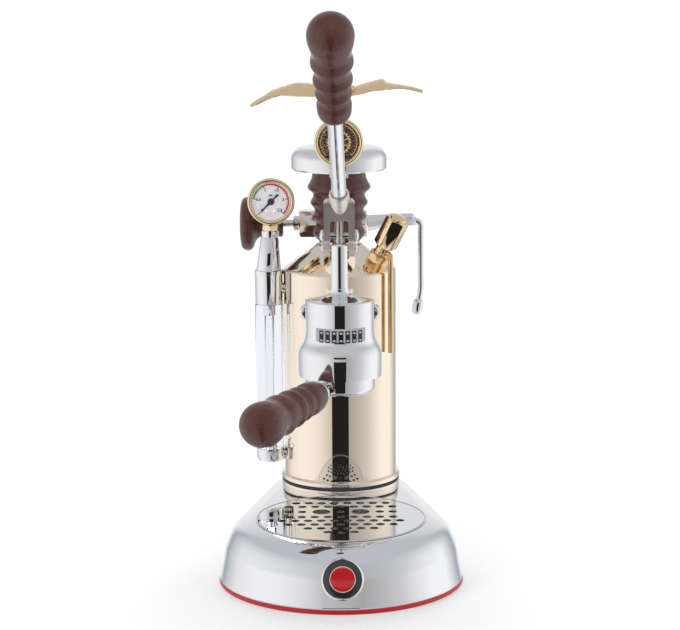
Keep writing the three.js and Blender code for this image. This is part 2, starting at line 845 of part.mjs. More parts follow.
function makeBoiler() {
  const inner = boilerOutside(-boilerWall).map(([radius, height]) => [radius, height]);
  inner.pop();
  const throat = coneTopHeight - neckDepth;
  const vessel = turned([
    [boilerRadius - boilerWall, boilerFoot], ...boilerOutside(0), [neckBoreRadius, coneTopHeight],
    [neckBoreRadius, throat], [neckBoreRadius + boilerWall, throat - boilerWall],
    ...inner.slice(1).reverse(),
  ], largeFacets);
  const bevelledRing = (outer, inside, low, high, bevelLow, bevelHigh) => turned([
    [inside, low], [outer - bevelLow, low], [outer, low + bevelLow],
    [outer, high - bevelHigh], [outer - bevelHigh, high], [inside, high],
  ], largeFacets);
  const collarBore = collarRadius - collarWidth;
  const collarTop = collarFoot + collarHeight;
  piece(
    'base_collar', bevelledRing(collarRadius, collarBore, collarFoot, collarTop, ringBevel / 2, ringBevel),
    gold,
  );
  const gasketRadius = collarRadius - gasketInset;
  piece(
    'flange_gasket', ring(collarBore, gasketRadius, gasketFoot, gasketFoot + gasketThickness, largeFacets),
    darkRubber,
  );
  const flangeBore = boilerRadius - boilerWall;
  const flange = bevelledRing(
    collarRadius, flangeBore, boilerFoot, boilerFoot + flangeHeight, ringBevel, 2 * ringBevel,
  );
  piece('boiler_vessel', join(vessel, flange), gold);

  const plateRadius = collarBore - seatGap;
  const plateTop = gasketFoot + gasketThickness;
  const plateFoot = plateTop - elementPlateThickness;
  const terminals = [-1, 1].map((side) => (
    cylinder(terminalRadius, plateFoot - terminalLength, plateFoot + cutOverrun, smallFacets)
      .translate((side * terminalSpacing) / 2, 0, 0)
  ));
  const plate = cylinder(plateRadius, plateFoot, plateTop, largeFacets);
  const thermostat = cylinder(
    thermostatRadius, plateFoot - thermostatHeight, plateFoot + cutOverrun, smallFacets,
  );
  piece('element_plate', join(plate, thermostat, ...terminals), steel);

  const legFoot = plateTop + seatGap;
  const coil = [];
  for (let i = 0; i <= elementSteps; i++) {
    const share = i / elementSteps;
    const angle = share * 2 * Math.PI;
    const lift = Math.min(share, 1 - share) * elementSteps / 4;
    const spread = Math.min(1, lift);
    const rise = elementCoilHeight + elementCoilRise * share;
    const reach = terminalSpacing / 2 + (elementCoilRadius - terminalSpacing / 2) * spread;
    coil.push(new THREE.Vector3(reach * Math.cos(angle * spread), reach * Math.sin(angle * spread), rise));
  }
  const ends = elementTubeRadius * 2;
  const start = new THREE.Vector3(terminalSpacing / 2, 0, legFoot);
  const finish = new THREE.Vector3(-terminalSpacing / 2, 0, legFoot);
  const turnedCoil = coil.slice(3, -3).filter((point, i) => i % 2 === 0);
  const path = new THREE.CatmullRomCurve3([
    start, start.clone().setZ(legFoot + ends), ...turnedCoil.slice(0, Math.ceil(turnedCoil.length / 2)),
    finish.clone().setZ(elementCoilHeight), finish.clone().setZ(legFoot + ends), finish,
  ], false, 'centripetal');
  piece('heating_element', tubeAlong(path, elementTubeRadius, elementSteps, 6), steel);
}

// Filler cap

// A raised wing: each station gives its reach, its lift and how high it stands, as shares.
function wing(side, stationShares) {
  const rings = stationShares.map(([reach, lift, height]) => {
    const x = side * reach * wingReach;
    const z = wingRise + lift * wingDroop;
    const run = (wingChord / 2) * Math.sqrt(height);
    const half = wingThickness / 2;
    const climb = Math.max((wingFrontHeight * height) / 2 - half, half / 2);
    const section = [
      [-run, -climb - half], [0, -2 * half], [run, climb - half], [run, climb + half], [0, 2 * half],
      [-run, -climb + half],
    ];
    const points = section.map(([y, up]) => new THREE.Vector3(x, y, z + up));
    return side > 0 ? points : points.reverse();
  });
  return loft(rings);
}

function makeCap() {
  const plug = turned([
    [0, coneTopHeight - plugDepth], [plugRadius - ringBevel, coneTopHeight - plugDepth],
    [plugRadius, coneTopHeight - plugDepth + ringBevel], [plugRadius, plugFlangeFoot],
    [plugFlangeRadius, plugFlangeFoot], [plugFlangeRadius, plugFlangeFoot + plugFlangeHeight],
    [0, plugFlangeFoot + plugFlangeHeight],
  ], mediumFacets);
  piece('cap_plug', plug, gold);
  piece(
    'cap_gasket',
    ring(plugRadius + seatGap, plugFlangeRadius, capGasketFoot, capGasketFoot + capGasketThickness),
    whiteSeal,
  );

  const side = columnHeightShares.map(
    (share, i) => [columnBeadRadius * columnRadiusShares[i], columnFoot + share * columnHeight],
  );
  piece('cap_column', turned([[0, columnFoot], ...side, [0, columnTopHeight]], mediumFacets), wood);

  const cornerRadius = domeRadius - domeCorner;
  const dome = turned([
    [0, domeFoot], [domeRadius - domeLip, domeFoot], [domeRadius, domeFoot + domeLip],
    ...arcPoints(cornerRadius, domeTop - domeCorner, domeCorner, 0, quarterTurn, 4),
    [cornerRadius / 2, domeTop + domeCrown * 0.75], [0, domeTop + domeCrown],
  ], largeFacets);
  piece('cap_dome', dome, chrome);

  const standFoot = domeTop + domeCrown + seatGap;
  const frame = frameAt(0, 0, standFoot);
  const stand = turned([
    [0, 0], [finialPedestalRadius, 0], [finialPedestalRadius, finialPedestalHeight / 3],
    [finialPedestalRadius / 2, finialPedestalHeight], [0, finialPedestalHeight],
  ], smallFacets);
  const bodyShares = [
    [0, 0.1], [0.45, 0.16], [0.8, 0.32], [1, 0.5], [0.86, 0.66], [0.52, 0.76], [0.5, 0.86], [0.34, 0.96],
    [0, 1],
  ];
  const bodyProfile = bodyShares.map(
    ([outward, upward]) => [eagleBodyRadius * outward, eagleHeight * upward],
  );
  const body = turned(bodyProfile, smallFacets);
  const tail = loft([0, 1].map((end) => {
    const y = eagleBodyRadius * (0.3 + 1.5 * end);
    const z = eagleHeight * (0.34 - 0.2 * end);
    const halfWidth = eagleBodyRadius * (0.45 + 0.35 * end);
    return [
      [-halfWidth, -wingThickness], [halfWidth, -wingThickness], [halfWidth, wingThickness],
      [-halfWidth, wingThickness],
    ]
      .map(([x, up]) => new THREE.Vector3(x, y, z + up)).reverse();
  }));
  const beakRoot = eagleHeight * 0.86;
  const beak = new THREE.ConeGeometry(eagleBodyRadius * 0.3, eagleBodyRadius * 0.9, 6)
    .rotateX((quarterTurn + beakDip) * degree).translate(0, -eagleBodyRadius * 0.75, beakRoot);
  piece(
    'eagle_finial', join(stand, body, wing(1, rightWingShares), wing(-1, leftWingShares), tail, beak), gold,
    frame,
  );
}

// Lever group

const groupFrame = frameAt(0, -groupReach, 0);

// The boiler as the group sees it, grown by a gap.
const boilerFromGroup = () => boilerSeen().translate(0, groupReach, 0);

function groupOutside() {
  const domeShares = [[0.9, 0.06], [0.7, 0.15], [0.5, 0.24], [0.354, 0.35], [0.29, 0.52], [0.262, 0.8]];
  const dome = domeShares.map(([outward, upward]) => (
    [groupCylinderRadius * outward, groupRimHeight + neckFootRise * upward]
  ));
  return [
    [bellRadius, bellLipHeight], [bellRadius, bellShoulderHeight],
    [bellRadius - 1.2 * ringBevel, bellShoulderHeight + 3 * ringBevel],
    [groupCylinderRadius + ringBevel, groupCylinderFoot - 3 * ringBevel],
    [groupCylinderRadius, groupCylinderFoot], [groupCylinderRadius, groupRimHeight - groupEdgeRound],
    [groupCylinderRadius - groupEdgeRound, groupRimHeight], ...dome,
    [neckFootRadius, neckFootHeight], [neckTopRadius, neckTopHeight],
  ];
}

function makeGroup() {
  const outside = groupOutside();
  const shell = turned([
    [rodBoreRadius, neckTopHeight], [rodBoreRadius, groupBoreTop], [groupBoreRadius, groupBoreTop],
    [groupBoreRadius, bellSeatHeight], [bellBoreRadius, bellSeatHeight], [bellBoreRadius, bellLipHeight],
    ...outside,
  ], largeFacets);
  const lugOutline = hull([
    ...circlePoints([fulcrumSetback, fulcrumHeight], lugRadius, mediumFacets),
    [neckTopRadius - seatGap, groupRimHeight - ringBevel], [lugFootDepth, groupRimHeight - ringBevel],
    [neckTopRadius - seatGap, fulcrumHeight],
  ]);
  const lug = cut(
    sidePlate(lugOutline, -lugThickness / 2, lugThickness / 2),
    cylinder(rodBoreRadius, groupRimHeight - cutOverrun, neckTopHeight + cutOverrun, mediumFacets),
  );
  const pinHole = alongX(cylinder(pinRadius + runningGap, -lugThickness, lugThickness, smallFacets))
    .translate(0, fulcrumSetback, fulcrumHeight);
  const slotFoot = pistonPinHeight - pistonTravel - pinRadius - 2 * runningGap;
  const slotTop = neckTopHeight + cutOverrun;
  const slotWidth = 2 * (pinRadius + runningGap);
  const pinSlots = block(forkSlotWidth, slotWidth, slotTop - slotFoot, 0, 0, (slotTop + slotFoot) / 2);
  const port = facingFront(
    cylinder(
      flangePortRadius / 2, -groupCylinderRadius - cutOverrun, -groupBoreRadius + cutOverrun, smallFacets,
    ),
  )
    .translate(0, 0, flangeHeightCentre);
  const ramps = [0, 180].map((middle) => ringSector(
    bayonetRampInner, bellBoreRadius + ringBevel, middle - bayonetRampSpan / 2, middle + bayonetRampSpan / 2,
    bellLipHeight + seatGap, bellLipHeight + seatGap + bayonetRampHeight,
  ));
  piece('group_body', cut(join(shell, lug, ...ramps), pinHole, pinSlots, port), chrome, groupFrame);

  // Flange between the group and the boiler, with an ear and a bolt at each side.
  const ears = hull([
    ...circlePoints([-flangeEarReach, 0], flangeEarRadius, mediumFacets),
    ...circlePoints([flangeEarReach, 0], flangeEarRadius, mediumFacets),
  ]);
  const boss = circlePoints([0, 0], flangeBossRadius, mediumFacets);
  const flangeFront = boilerRadius + flangeFrontReach - groupReach;
  const plateOf = (points) => facingFront(
    raised(new THREE.Shape(points.map((point) => new THREE.Vector2(...point))), 0, groupReach),
  );
  const slab = join(plateOf(ears), plateOf(boss)).translate(0, groupReach, flangeHeightCentre);
  const rearOnly = block(
    4 * flangeEarReach, groupReach, 4 * flangeBossRadius, 0, -groupReach / 2 - flangeFront,
    flangeHeightCentre,
  );
  const groupSeen = turned([
    [0, bellLipHeight], ...outside.slice(0, 5).map(([radius, height]) => [radius + seatGap, height]),
    [groupCylinderRadius + seatGap, neckFootHeight], [0, neckFootHeight],
  ], largeFacets);
  const waterway = facingFront(cylinder(flangePortRadius / 2, -groupReach, 0, smallFacets))
    .translate(0, 0, flangeHeightCentre);
  const boltHoles = [-1, 1].map((side) => (
    facingFront(cylinder(boltRadius + seatGap, -groupReach, 0, smallFacets))
      .translate(side * flangeEarReach, 0, flangeHeightCentre)
  ));
  const flange = cut(slab, rearOnly, groupSeen, boilerFromGroup(), waterway, ...boltHoles);
  piece('group_flange', flange, chrome, groupFrame);

  const bolts = [-1, 1].map((side) => {
    const head = hexBar(boltHeadAcross, 0, boltHeadHeight);
    const shank = cylinder(boltRadius, -flangeFrontReach * 2, seatGap, smallFacets);
    const bolt = join(head, shank);
    const placed = bolt.rotate([quarterTurn, 0, 0])
      .translate([side * flangeEarReach, -flangeFront - seatGap, flangeHeightCentre]);
    return placed.subtract(solidOf(boilerFromGroup()));
  });
  piece('flange_bolt_left', bolts[0], steel, groupFrame);
  piece('flange_bolt_right', bolts[1], steel, groupFrame);

  const gasketTop = bellSeatHeight - seatGap;
  const gasketLow = gasketTop - groupGasketThickness;
  piece(
    'group_gasket', ring(gasketBoreRadius, bellBoreRadius - 2 * seatGap, gasketLow, gasketTop, largeFacets),
    darkRubber, groupFrame,
  );

  const screenRadius = gasketBoreRadius - 2 * seatGap;
  const screen = turned([
    [0, gasketLow], [screenRadius, gasketLow], [screenRadius, gasketLow + screenRimHeight],
    [screenRadius - screenThickness, gasketLow + screenRimHeight],
    [screenRadius - screenThickness, gasketLow + screenThickness],
    [0, gasketLow + screenThickness],
  ], mediumFacets);
  const holes = circlePoints([0, 0], screenHoleRing, screenHoles).map(([x, y]) => (
    cylinder(screenHoleRadius, gasketLow - cutOverrun, gasketLow + cutOverrun, 6).translate(x, y, 0)
  ));
  piece('shower_screen', cut(screen, ...holes), steel, groupFrame);

  const strip = ringSector(
    groupCylinderRadius + seatGap, groupCylinderRadius + seatGap + stripThickness,
    -quarterTurn - stripSpan / 2, -quarterTurn + stripSpan / 2, stripFoot, stripFoot + stripHeight,
  );
  piece('thermometer_strip', strip, stripGrey, groupFrame);
}

function makePiston() {
  const grooveHeights = [pistonFoot + sealHeight, pistonFoot + sealHeight + sealSpacing];
  const grooves = grooveHeights.map((low) => (
    ring(sealRadius - sealDepth - seatGap, sealRadius + cutOverrun, low, low + sealHeight + 2 * seatGap)
  ));
  const body = turned([
    [rodStudRadius + seatGap, pistonTop], [rodStudRadius + seatGap, pistonFoot + rodNutRecess],
    [rodNutAcross * 0.66, pistonFoot + rodNutRecess], [rodNutAcross * 0.66, pistonFoot],
    [pistonRadius, pistonFoot], [pistonRadius, pistonTop],
  ], mediumFacets);
  piece('piston', cut(body, ...grooves), blackPlastic, groupFrame);
  const seals = grooveHeights.map((low) => (
    ring(sealRadius - sealDepth, sealRadius, low + seatGap, low + seatGap + sealHeight)
  ));
  piece('piston_seal_lower', seals[0], darkRubber, groupFrame);
  piece('piston_seal_upper', seals[1], darkRubber, groupFrame);

  const nutTop = pistonFoot + rodNutRecess - seatGap;
  const rod = turned([
    [0, nutTop - rodNutHeight], [rodStudRadius, nutTop - rodNutHeight], [rodStudRadius, pistonTop + seatGap],
    [rodRadius, pistonTop + seatGap], [rodRadius, neckTopHeight + seatGap],
    [rodUpperRadius * 1.12, neckTopHeight + rodTaperLength / 2],
    [rodUpperRadius, neckTopHeight + rodTaperLength],
    [rodUpperRadius, rodTopHeight], [0, rodTopHeight],
  ], mediumFacets);
  const nut = hexBar(rodNutAcross, nutTop - rodNutHeight, nutTop);
  const head = hexBar(rodHexAcross, rodTopHeight, rodTopHeight + rodHexHeight).rotateZ(Math.PI / 2);
  const pinHole = alongX(cylinder(pinRadius + seatGap, -forkHalf, forkHalf, smallFacets))
    .translate(0, 0, pistonPinHeight);
  piece('piston_rod', cut(join(rod, nut, head), pinHole), nickel, groupFrame);

  const pistonPin = pinWithHeads(pistonPinHeadRadius, pistonPinHeadLength).translate(0, 0, pistonPinHeight);
  piece('piston_pin', pistonPin, chrome, groupFrame);
  const fulcrumPin = pinWithHeads(fulcrumPinHeadRadius, fulcrumPinHeadLength)
    .translate(0, fulcrumSetback, fulcrumHeight);
  piece('fulcrum_pin', fulcrumPin, chrome, groupFrame);
}

// A cross pin along X, with a domed head outside each arm of the fork.
function pinWithHeads(headRadius, headLength) {
  const face = forkHalf + seatGap;
  const head = [
    [pinRadius, face], [headRadius, face], [headRadius, face + headLength * 0.35],
    [headRadius * 0.72, face + headLength * 0.8], [0, face + headLength],
  ];
  const mirrored = head.map(([radius, height]) => [radius, -height]).reverse();
  return alongX(turned([...mirrored, ...head], smallFacets));
}

// Lever

// A turned handle along Z: the ball is centred on the origin and the grip ends below it.
function turnedHandle() {
  const ball = ballStationShares.map(
    (share, i) => [handleBallRadius * ballRadiusShares[i], -handleBallRadius * share],
  );
  const grip = handleStationShares.map(
    (share, i) => [handleBallRadius * handleRadiusShares[i], -handleLength * share],
  );
  const endRadius = handleBallRadius * handleEndShare;
  return turned([
    [0, handleBallRadius], ...ball, ...grip, [endRadius, -handleLength + handleEndRound],
    [endRadius - handleEndRound, -handleLength], [armSpigotRadius + seatGap, -handleLength],
    [armSpigotRadius + seatGap, -handleLength + handleBoreDepth], [0, -handleLength + handleBoreDepth],
  ], mediumFacets);
}

function makeLever() {
  const frame = frameAt(0, fulcrumSetback, fulcrumHeight, groupFrame);
  const pinRise = pistonPinHeight - fulcrumHeight;
  const eye = [-fulcrumSetback, pinRise];
  const sideOutline = hull([
    ...circlePoints([0, 0], forkEyeRadius, mediumFacets),
    ...circlePoints(eye, forkEyeRadius, mediumFacets),
    ...circlePoints([-forkBridgeReach, forkBridgeRise], forkBridgeRadius, mediumFacets),
    ...circlePoints(
      [-forkShoulderReach, forkShoulderRise - forkBridgeRadius], forkBridgeRadius, mediumFacets,
    ),
  ]);
  const frontOutline = new THREE.Shape();
  const foot = -forkEyeRadius - cutOverrun;
  const slotHalf = forkSlotWidth / 2;
  frontOutline.moveTo(-forkHalf, foot);
  frontOutline.lineTo(-slotHalf, foot);
  frontOutline.lineTo(-slotHalf, forkSlotTop - forkSlotRound);
  frontOutline.quadraticCurveTo(-slotHalf, forkSlotTop, -slotHalf + forkSlotRound, forkSlotTop);
  frontOutline.lineTo(slotHalf - forkSlotRound, forkSlotTop);
  frontOutline.quadraticCurveTo(slotHalf, forkSlotTop, slotHalf, forkSlotTop - forkSlotRound);
  frontOutline.lineTo(slotHalf, foot);
  frontOutline.lineTo(forkHalf, foot);
  frontOutline.lineTo(forkHalf, forkShoulderRise - forkShoulderRound);
  frontOutline.quadraticCurveTo(forkHalf, forkShoulderRise, forkHalf - forkShoulderRound, forkShoulderRise);
  frontOutline.lineTo(-forkHalf + forkShoulderRound, forkShoulderRise);
  frontOutline.quadraticCurveTo(
    -forkHalf, forkShoulderRise, -forkHalf, forkShoulderRise - forkShoulderRound,
  );
  const front = facingFront(raised(frontOutline, -groupReach, groupReach, 4));
  const side = sidePlate(sideOutline, -forkHalf, forkHalf);
  const yoke = solidOf(side).intersect(solidOf(front));

  const aim = leverAim();
  const rim = new THREE.Vector3(0, -socketRimReach, socketRimRise);
  const socket = turned([
    [0, -socketLength], [socketFootRadius, -socketLength], [socketRadius, 0], [0, 0],
  ], mediumFacets)
    .applyQuaternion(aim).translate(...rim);
  const socketBore = cylinder(armSpigotRadius + seatGap, -armSpigotLength - seatGap, cutOverrun)
    .applyQuaternion(aim).translate(...rim);
  const behindRod = -fulcrumSetback - rodRadius - rodClearance;
  const rodSpace = block(forkSlotWidth, groupReach, 4 * groupReach, 0, behindRod + groupReach / 2, 0);

  // Each arm has a straight slot in which the piston pin slides as the lever turns.
  const restRadius = Math.hypot(fulcrumSetback, pinRise);
  const pressedRadius = Math.hypot(fulcrumSetback, pistonTravel - pinRise);
  const slotAngle = Math.atan2(pinRise, -fulcrumSetback);
  const slotRadius = pinRadius + pinSlotPlay + runningGap;
  const slotEnds = [fulcrumSetback, Math.max(restRadius, pressedRadius)].map(
    (reach) => [reach * Math.cos(slotAngle), reach * Math.sin(slotAngle)],
  );
  const slotOutline = hull(slotEnds.flatMap((end) => circlePoints(end, slotRadius, smallFacets)));
  const pinSlot = sidePlate(slotOutline, -forkWidth, forkWidth);
  const fulcrumHole = alongX(cylinder(pinRadius + runningGap, -forkWidth, forkWidth, smallFacets));
  piece('lever_fork', cut(join(yoke, socket), rodSpace, pinSlot, fulcrumHole, socketBore), nickel, frame);

  const arm = frameAt(...rim, frame);
  arm.quaternion.copy(aim);
  const gripEnd = leverReach - handleLength;
  const bar = turned([
    [0, -armSpigotLength], [armSpigotRadius, -armSpigotLength], [armSpigotRadius, seatGap],
    [armRadius, seatGap],
    [armRadius, gripEnd - seatGap], [armSpigotRadius, gripEnd - seatGap],
    [armSpigotRadius, gripEnd + handleBoreDepth - seatGap], [0, gripEnd + handleBoreDepth - seatGap],
  ], mediumFacets);
  piece('lever_arm', bar, chrome, arm);
  piece('lever_handle', turnedHandle(), wood, frameAt(0, 0, leverReach, arm));
}

// Turns +Z to the direction of the lever: forward and up, leaning a little to the left.
function leverAim() {
  const flat = Math.cos(leverElevation * degree);
  const direction = new THREE.Vector3(
    -Math.sin(leverLean * degree), -flat, Math.sin(leverElevation * degree),
  ).normalize();
  return new THREE.Quaternion().setFromUnitVectors(new THREE.Vector3(0, 0, 1), direction);
}

// Gauges

// A gauge about Z, with its face up and its centre on the axis; the stem is added by the caller.
function makeGauge(prefix, frame, stem, dialFinish, needleFinish, needleAngle) {
  const face = gaugeDepth / 2;
  const recessFloor = face - gaugeRecess;
  const recessRadius = gaugeDialRadius + seatGap;
  const body = turned([
    [0, -face], [gaugeCaseRadius - gaugeBezelRound, -face], [gaugeCaseRadius, -face + gaugeBezelRound],
    [gaugeCaseRadius, face - gaugeBezelDepth], [gaugeRadius, face - gaugeBezelDepth],
    [gaugeRadius, face - gaugeBezelRound], [gaugeRadius - gaugeBezelRound, face],
    [recessRadius + gaugeBezelRound, face], [recessRadius, face - gaugeBezelRound],
    [recessRadius, recessFloor], [0, recessFloor],
  ], gaugeFacets);
  piece(`${prefix}_case`, join(facingFront(body), stem), gold, frame);

  const dialFoot = recessFloor + seatGap;
  const dialTop = dialFoot + gaugeDialThickness;
  piece(
    `${prefix}_dial`, facingFront(cylinder(gaugeDialRadius, dialFoot, dialTop, gaugeFacets)), dialFinish,
    frame,
  );

  const half = gaugeNeedleWidth / 2;
  const outline = [
    [-gaugeNeedleTail, -half * 2], [gaugeNeedleLength, -half], [gaugeNeedleLength, half],
    [-gaugeNeedleTail, half * 2],
  ]
    .map(([along, across]) => new THREE.Vector2(along, across));
  const needleFoot = dialTop + seatGap;
  const needle = join(
    raised(new THREE.Shape(outline), needleFoot, needleFoot + gaugeNeedleThickness),
    cylinder(gaugeHubRadius, needleFoot, needleFoot + gaugeNeedleThickness, smallFacets),
  );
  piece(
    `${prefix}_needle`, geometryOf(needle).rotateZ(needleAngle * degree).rotateX(Math.PI / 2), needleFinish,
    frame,
  );

  const lensTop = face - gaugeBezelRound;
  piece(
    `${prefix}_lens`,
    facingFront(cylinder(gaugeDialRadius, lensTop - gaugeLensThickness, lensTop, gaugeFacets)), clearGlass,
    frame,
  );
}

function makeGauges() {
  const onRod = frameAt(0, 0, groupGaugeHeight, groupFrame);
  const rodStemFoot = rodTopHeight + rodHexHeight + seatGap - groupGaugeHeight;
  const rodStem = cylinder(gaugeStemRadius, rodStemFoot, -gaugeCaseRadius + cutOverrun, smallFacets);
  makeGauge('group_gauge', onRod, rodStem, dialBronze, needleRed, groupGaugeNeedleAngle);

  // The head leans a little towards the boiler, and its gauge stands on it upright.
  const rise = boilerGaugeHeight - sightBandTop;
  const lean = sightLean * degree;
  const onSight = frameAt(
    -sightOffset + rise * Math.sin(lean), -sightForward, sightBandTop + rise * Math.cos(lean),
  );
  const hexFoot = sightCollarTop + seatGap - boilerGaugeHeight;
  const hexTop = hexFoot + boilerGaugeHexHeight;
  const stem = join(
    hexBar(boilerGaugeHexAcross, hexFoot, hexTop),
    cylinder(gaugeStemRadius, hexFoot, -gaugeCaseRadius + cutOverrun, smallFacets),
  )
    .rotate([0, sightLean, 0]);
  makeGauge('boiler_gauge', onSight, stem, dialWhite, blackPlastic, boilerGaugeNeedleAngle);
}

// Portafilter

function makePortafilter() {
  const frame = frameAt(0, 0, 0, groupFrame);
  frame.rotation.z = -handleAzimuth * degree;
  const ringTop = bellSeatHeight - portafilterTopGap;
  const lugFoot = bellLipHeight + seatGap + bayonetRampHeight + seatGap;
  const body = turned([
    [portafilterBore, portafilterFoot], [portafilterRadius - portafilterRound, portafilterFoot],
    ...arcPoints(
      portafilterRadius - portafilterRound, portafilterFoot + portafilterRound, portafilterRound,
      -quarterTurn, 0, 3,
    ),
    [portafilterRadius, ringTop], [portafilterBore, ringTop],
  ], largeFacets);
  const lugTurn = handleAzimuth - lugLead;
  const lugs = [0, 180].map((middle) => ringSector(
    portafilterBore + ringBevel, lugReach, middle + lugTurn - lugSpan / 2, middle + lugTurn + lugSpan / 2,
    lugFoot, lugFoot + lugHeight,
  ));
  const droop = (-quarterTurn - handleDroop) * degree;
  const aimed = (geometry) => geometry.rotateX(-droop).translate(0, 0, handleAxisHeight);
  const ferrule = turned([
    [0, portafilterBore + ringBevel], [ferruleRadius, portafilterBore + ringBevel],
    [ferruleRadius, handleStart * 0.8],
    [ferruleEndRadius, handleStart * 0.92], [ferruleEndRadius, handleStart - seatGap],
    [ferruleSpigotRadius, handleStart - seatGap],
    [ferruleSpigotRadius, handleStart + handleBoreDepth - seatGap],
    [0, handleStart + handleBoreDepth - seatGap],
  ], mediumFacets);
  const bellAbove = cylinder(
    bellRadius + cutOverrun, bellLipHeight - runningGap, bellSeatHeight, largeFacets,
  );
  const stalk = cut(
    aimed(ferrule), bellAbove, cylinder(portafilterBore, portafilterFoot, ringTop, largeFacets),
  );
  piece('portafilter_ring', join(body, ...lugs, stalk), chrome, frame);

  const grip = turnedHandle().translate(0, 0, handleStart + handleLength);
  piece('portafilter_handle', aimed(grip), wood, frame);

  const rimFoot = ringTop + seatGap;
  const basketInner = basketRadius - basketWall;
  const basket = turned([
    [0, basketFoot], [basketRadius - 2 * basketWall, basketFoot],
    [basketRadius, basketFoot + 2 * basketWall],
    [basketRadius, rimFoot], [basketRimRadius, rimFoot], [basketRimRadius, rimFoot + basketRimThickness],
    [basketInner, rimFoot + basketRimThickness], [basketInner, basketFoot + 2 * basketWall],
    [basketInner - basketWall, basketFoot + basketWall], [0, basketFoot + basketWall],
  ], largeFacets);
  const holes = circlePoints([0, 0], basketHoleRing, basketHoles).map(([x, y]) => (
    cylinder(basketHoleRadius, basketFoot - cutOverrun, basketFoot + cutOverrun, 6).translate(x, y, 0)
  ));
  piece('filter_basket', cut(basket, ...holes), steel, frame);
}

// Steam tap

function makeSteamTap() {
  const frame = frameAt(0, tapSetback, tapHeight);
  const body = alongX(hexBar(tapHexAcross, -tapHexLeft, tapHexRight));
  const stubFoot = boilerShoulderHeight - tapHeight - boilerShoulderRound;
  const stub = cylinder(tapStubRadius, stubFoot, 0, mediumFacets);
  const spindleHole = alongX(
    cylinder(spindleRadius + runningGap, -tapHexLeft - cutOverrun, -tapHexLeft / 2),
  );
  const boilerFromTap = boilerSeen().translate(0, -tapSetback, -tapHeight);
  piece('steam_valve_body', cut(join(body, stub), spindleHole, boilerFromTap), nickel, frame);

  const collarEnd = tapHexLeft + seatGap + spindleCollarLength;
  const spindle = turned([
    [0, -knobHubEnd - knobBoreDepth + seatGap], [spindleRadius, -knobHubEnd - knobBoreDepth + seatGap],
    [spindleRadius, -collarEnd], [spindleCollarRadius, -collarEnd],
    [spindleCollarRadius, -tapHexLeft - seatGap],
    [spindleRadius, -tapHexLeft - seatGap], [spindleRadius, -tapHexLeft / 2 - cutOverrun],
    [0, -tapHexLeft / 2 - cutOverrun],
  ], mediumFacets);
  piece('steam_spindle', alongX(spindle), nickel, frame);

  const discDepth = knobEnd - knobDiscStart;
  const discShares = [[0.3, 1], [0.86, 0.94], [0.99, 0.72], [1, 0.45], [0.93, 0.2], [0.66, 0.06]];
  const disc = discShares.map(
    ([outward, along]) => [knobDiscRadius * outward, -knobDiscStart - discDepth * along],
  );
  const knob = turned([
    [0, -knobEnd], ...disc, [knobHubRadius, -knobDiscStart + discDepth / 5],
    [knobHubRadius * 0.95, -knobHubEnd - ringBevel], [knobHubRadius * 0.88, -knobHubEnd],
    [spindleRadius + seatGap, -knobHubEnd], [spindleRadius + seatGap, -knobHubEnd - knobBoreDepth],
    [0, -knobHubEnd - knobBoreDepth],
  ], mediumFacets);
  piece('steam_knob', alongX(knob), wood, frame);

  const armFrom = new THREE.Vector3(tapHexRight + seatGap, 0, 0);
  const armTo = new THREE.Vector3(armTipReach, 0, armTipRise);
  const span = armTo.clone().sub(armFrom);
  const cone = turned(
    [[0, 0], [armRootRadius, 0], [armTipRadius, span.length()], [0, span.length() + armTipRadius / 2]],
    mediumFacets,
  )
    .applyQuaternion(
      new THREE.Quaternion().setFromUnitVectors(new THREE.Vector3(0, 0, 1), span.clone().normalize()),
    )
    .translate(...armFrom);
  const nut = alongX(hexBar(wandNutAcross, wandNutEnd - wandNutLength, wandNutEnd))
    .translate(0, 0, -wandAxisDrop);
  const faceTrim = block(
    armRootRadius, 4 * armRootRadius, 4 * armRootRadius, tapHexRight + seatGap - armRootRadius / 2, 0, 0,
  );
  const wandSocket = alongX(
    cylinder(wandRadius + runningGap, wandNutEnd - wandNutLength / 2, wandNutEnd + cutOverrun),
  )
    .translate(0, 0, -wandAxisDrop);
  piece('steam_arm', cut(join(cone, nut), faceTrim, wandSocket), chrome, frame);

  const path = new THREE.CurvePath();
  const corner = new THREE.Vector3(wandReach, 0, -wandAxisDrop);
  const intoBend = new THREE.Vector3(wandReach - wandBend, 0, -wandAxisDrop);
  const outOfBend = new THREE.Vector3(wandReach, 0, -wandAxisDrop - wandBend);
  const knee = new THREE.Vector3(wandReach, 0, -wandKneeDrop);
  const tip = new THREE.Vector3(wandTipReach, 0, -wandTipDrop);
  const start = new THREE.Vector3(wandNutEnd - wandNutLength / 2 + seatGap, 0, -wandAxisDrop);
  path.add(new THREE.CatmullRomCurve3([
    start, intoBend, corner.clone().lerp(intoBend, 0.3).lerp(outOfBend, 0.15), outOfBend,
    outOfBend.clone().lerp(knee, 0.35), outOfBend.clone().lerp(knee, 0.7), knee, tip,
  ], false, 'centripetal'));
  const tube = tubeAlong(path.curves[0], wandRadius, wandSteps, 6);
  const along = tip.clone().sub(knee).normalize();
  const nozzleShares = [[0, -0.35], [0.6, -0.35], [1, -0.1], [1, 0.55], [0.55, 0.92], [0, 1]];
  const nozzle = turned(
    nozzleShares.map(([outward, forward]) => [wandTipRadius * outward, wandTipLength * forward]),
    smallFacets,
  )
    .applyQuaternion(new THREE.Quaternion().setFromUnitVectors(new THREE.Vector3(0, 0, 1), along))
    .translate(...tip);
  piece('steam_wand', join(tube, nozzle), chrome, frame);
}

// Sight glass

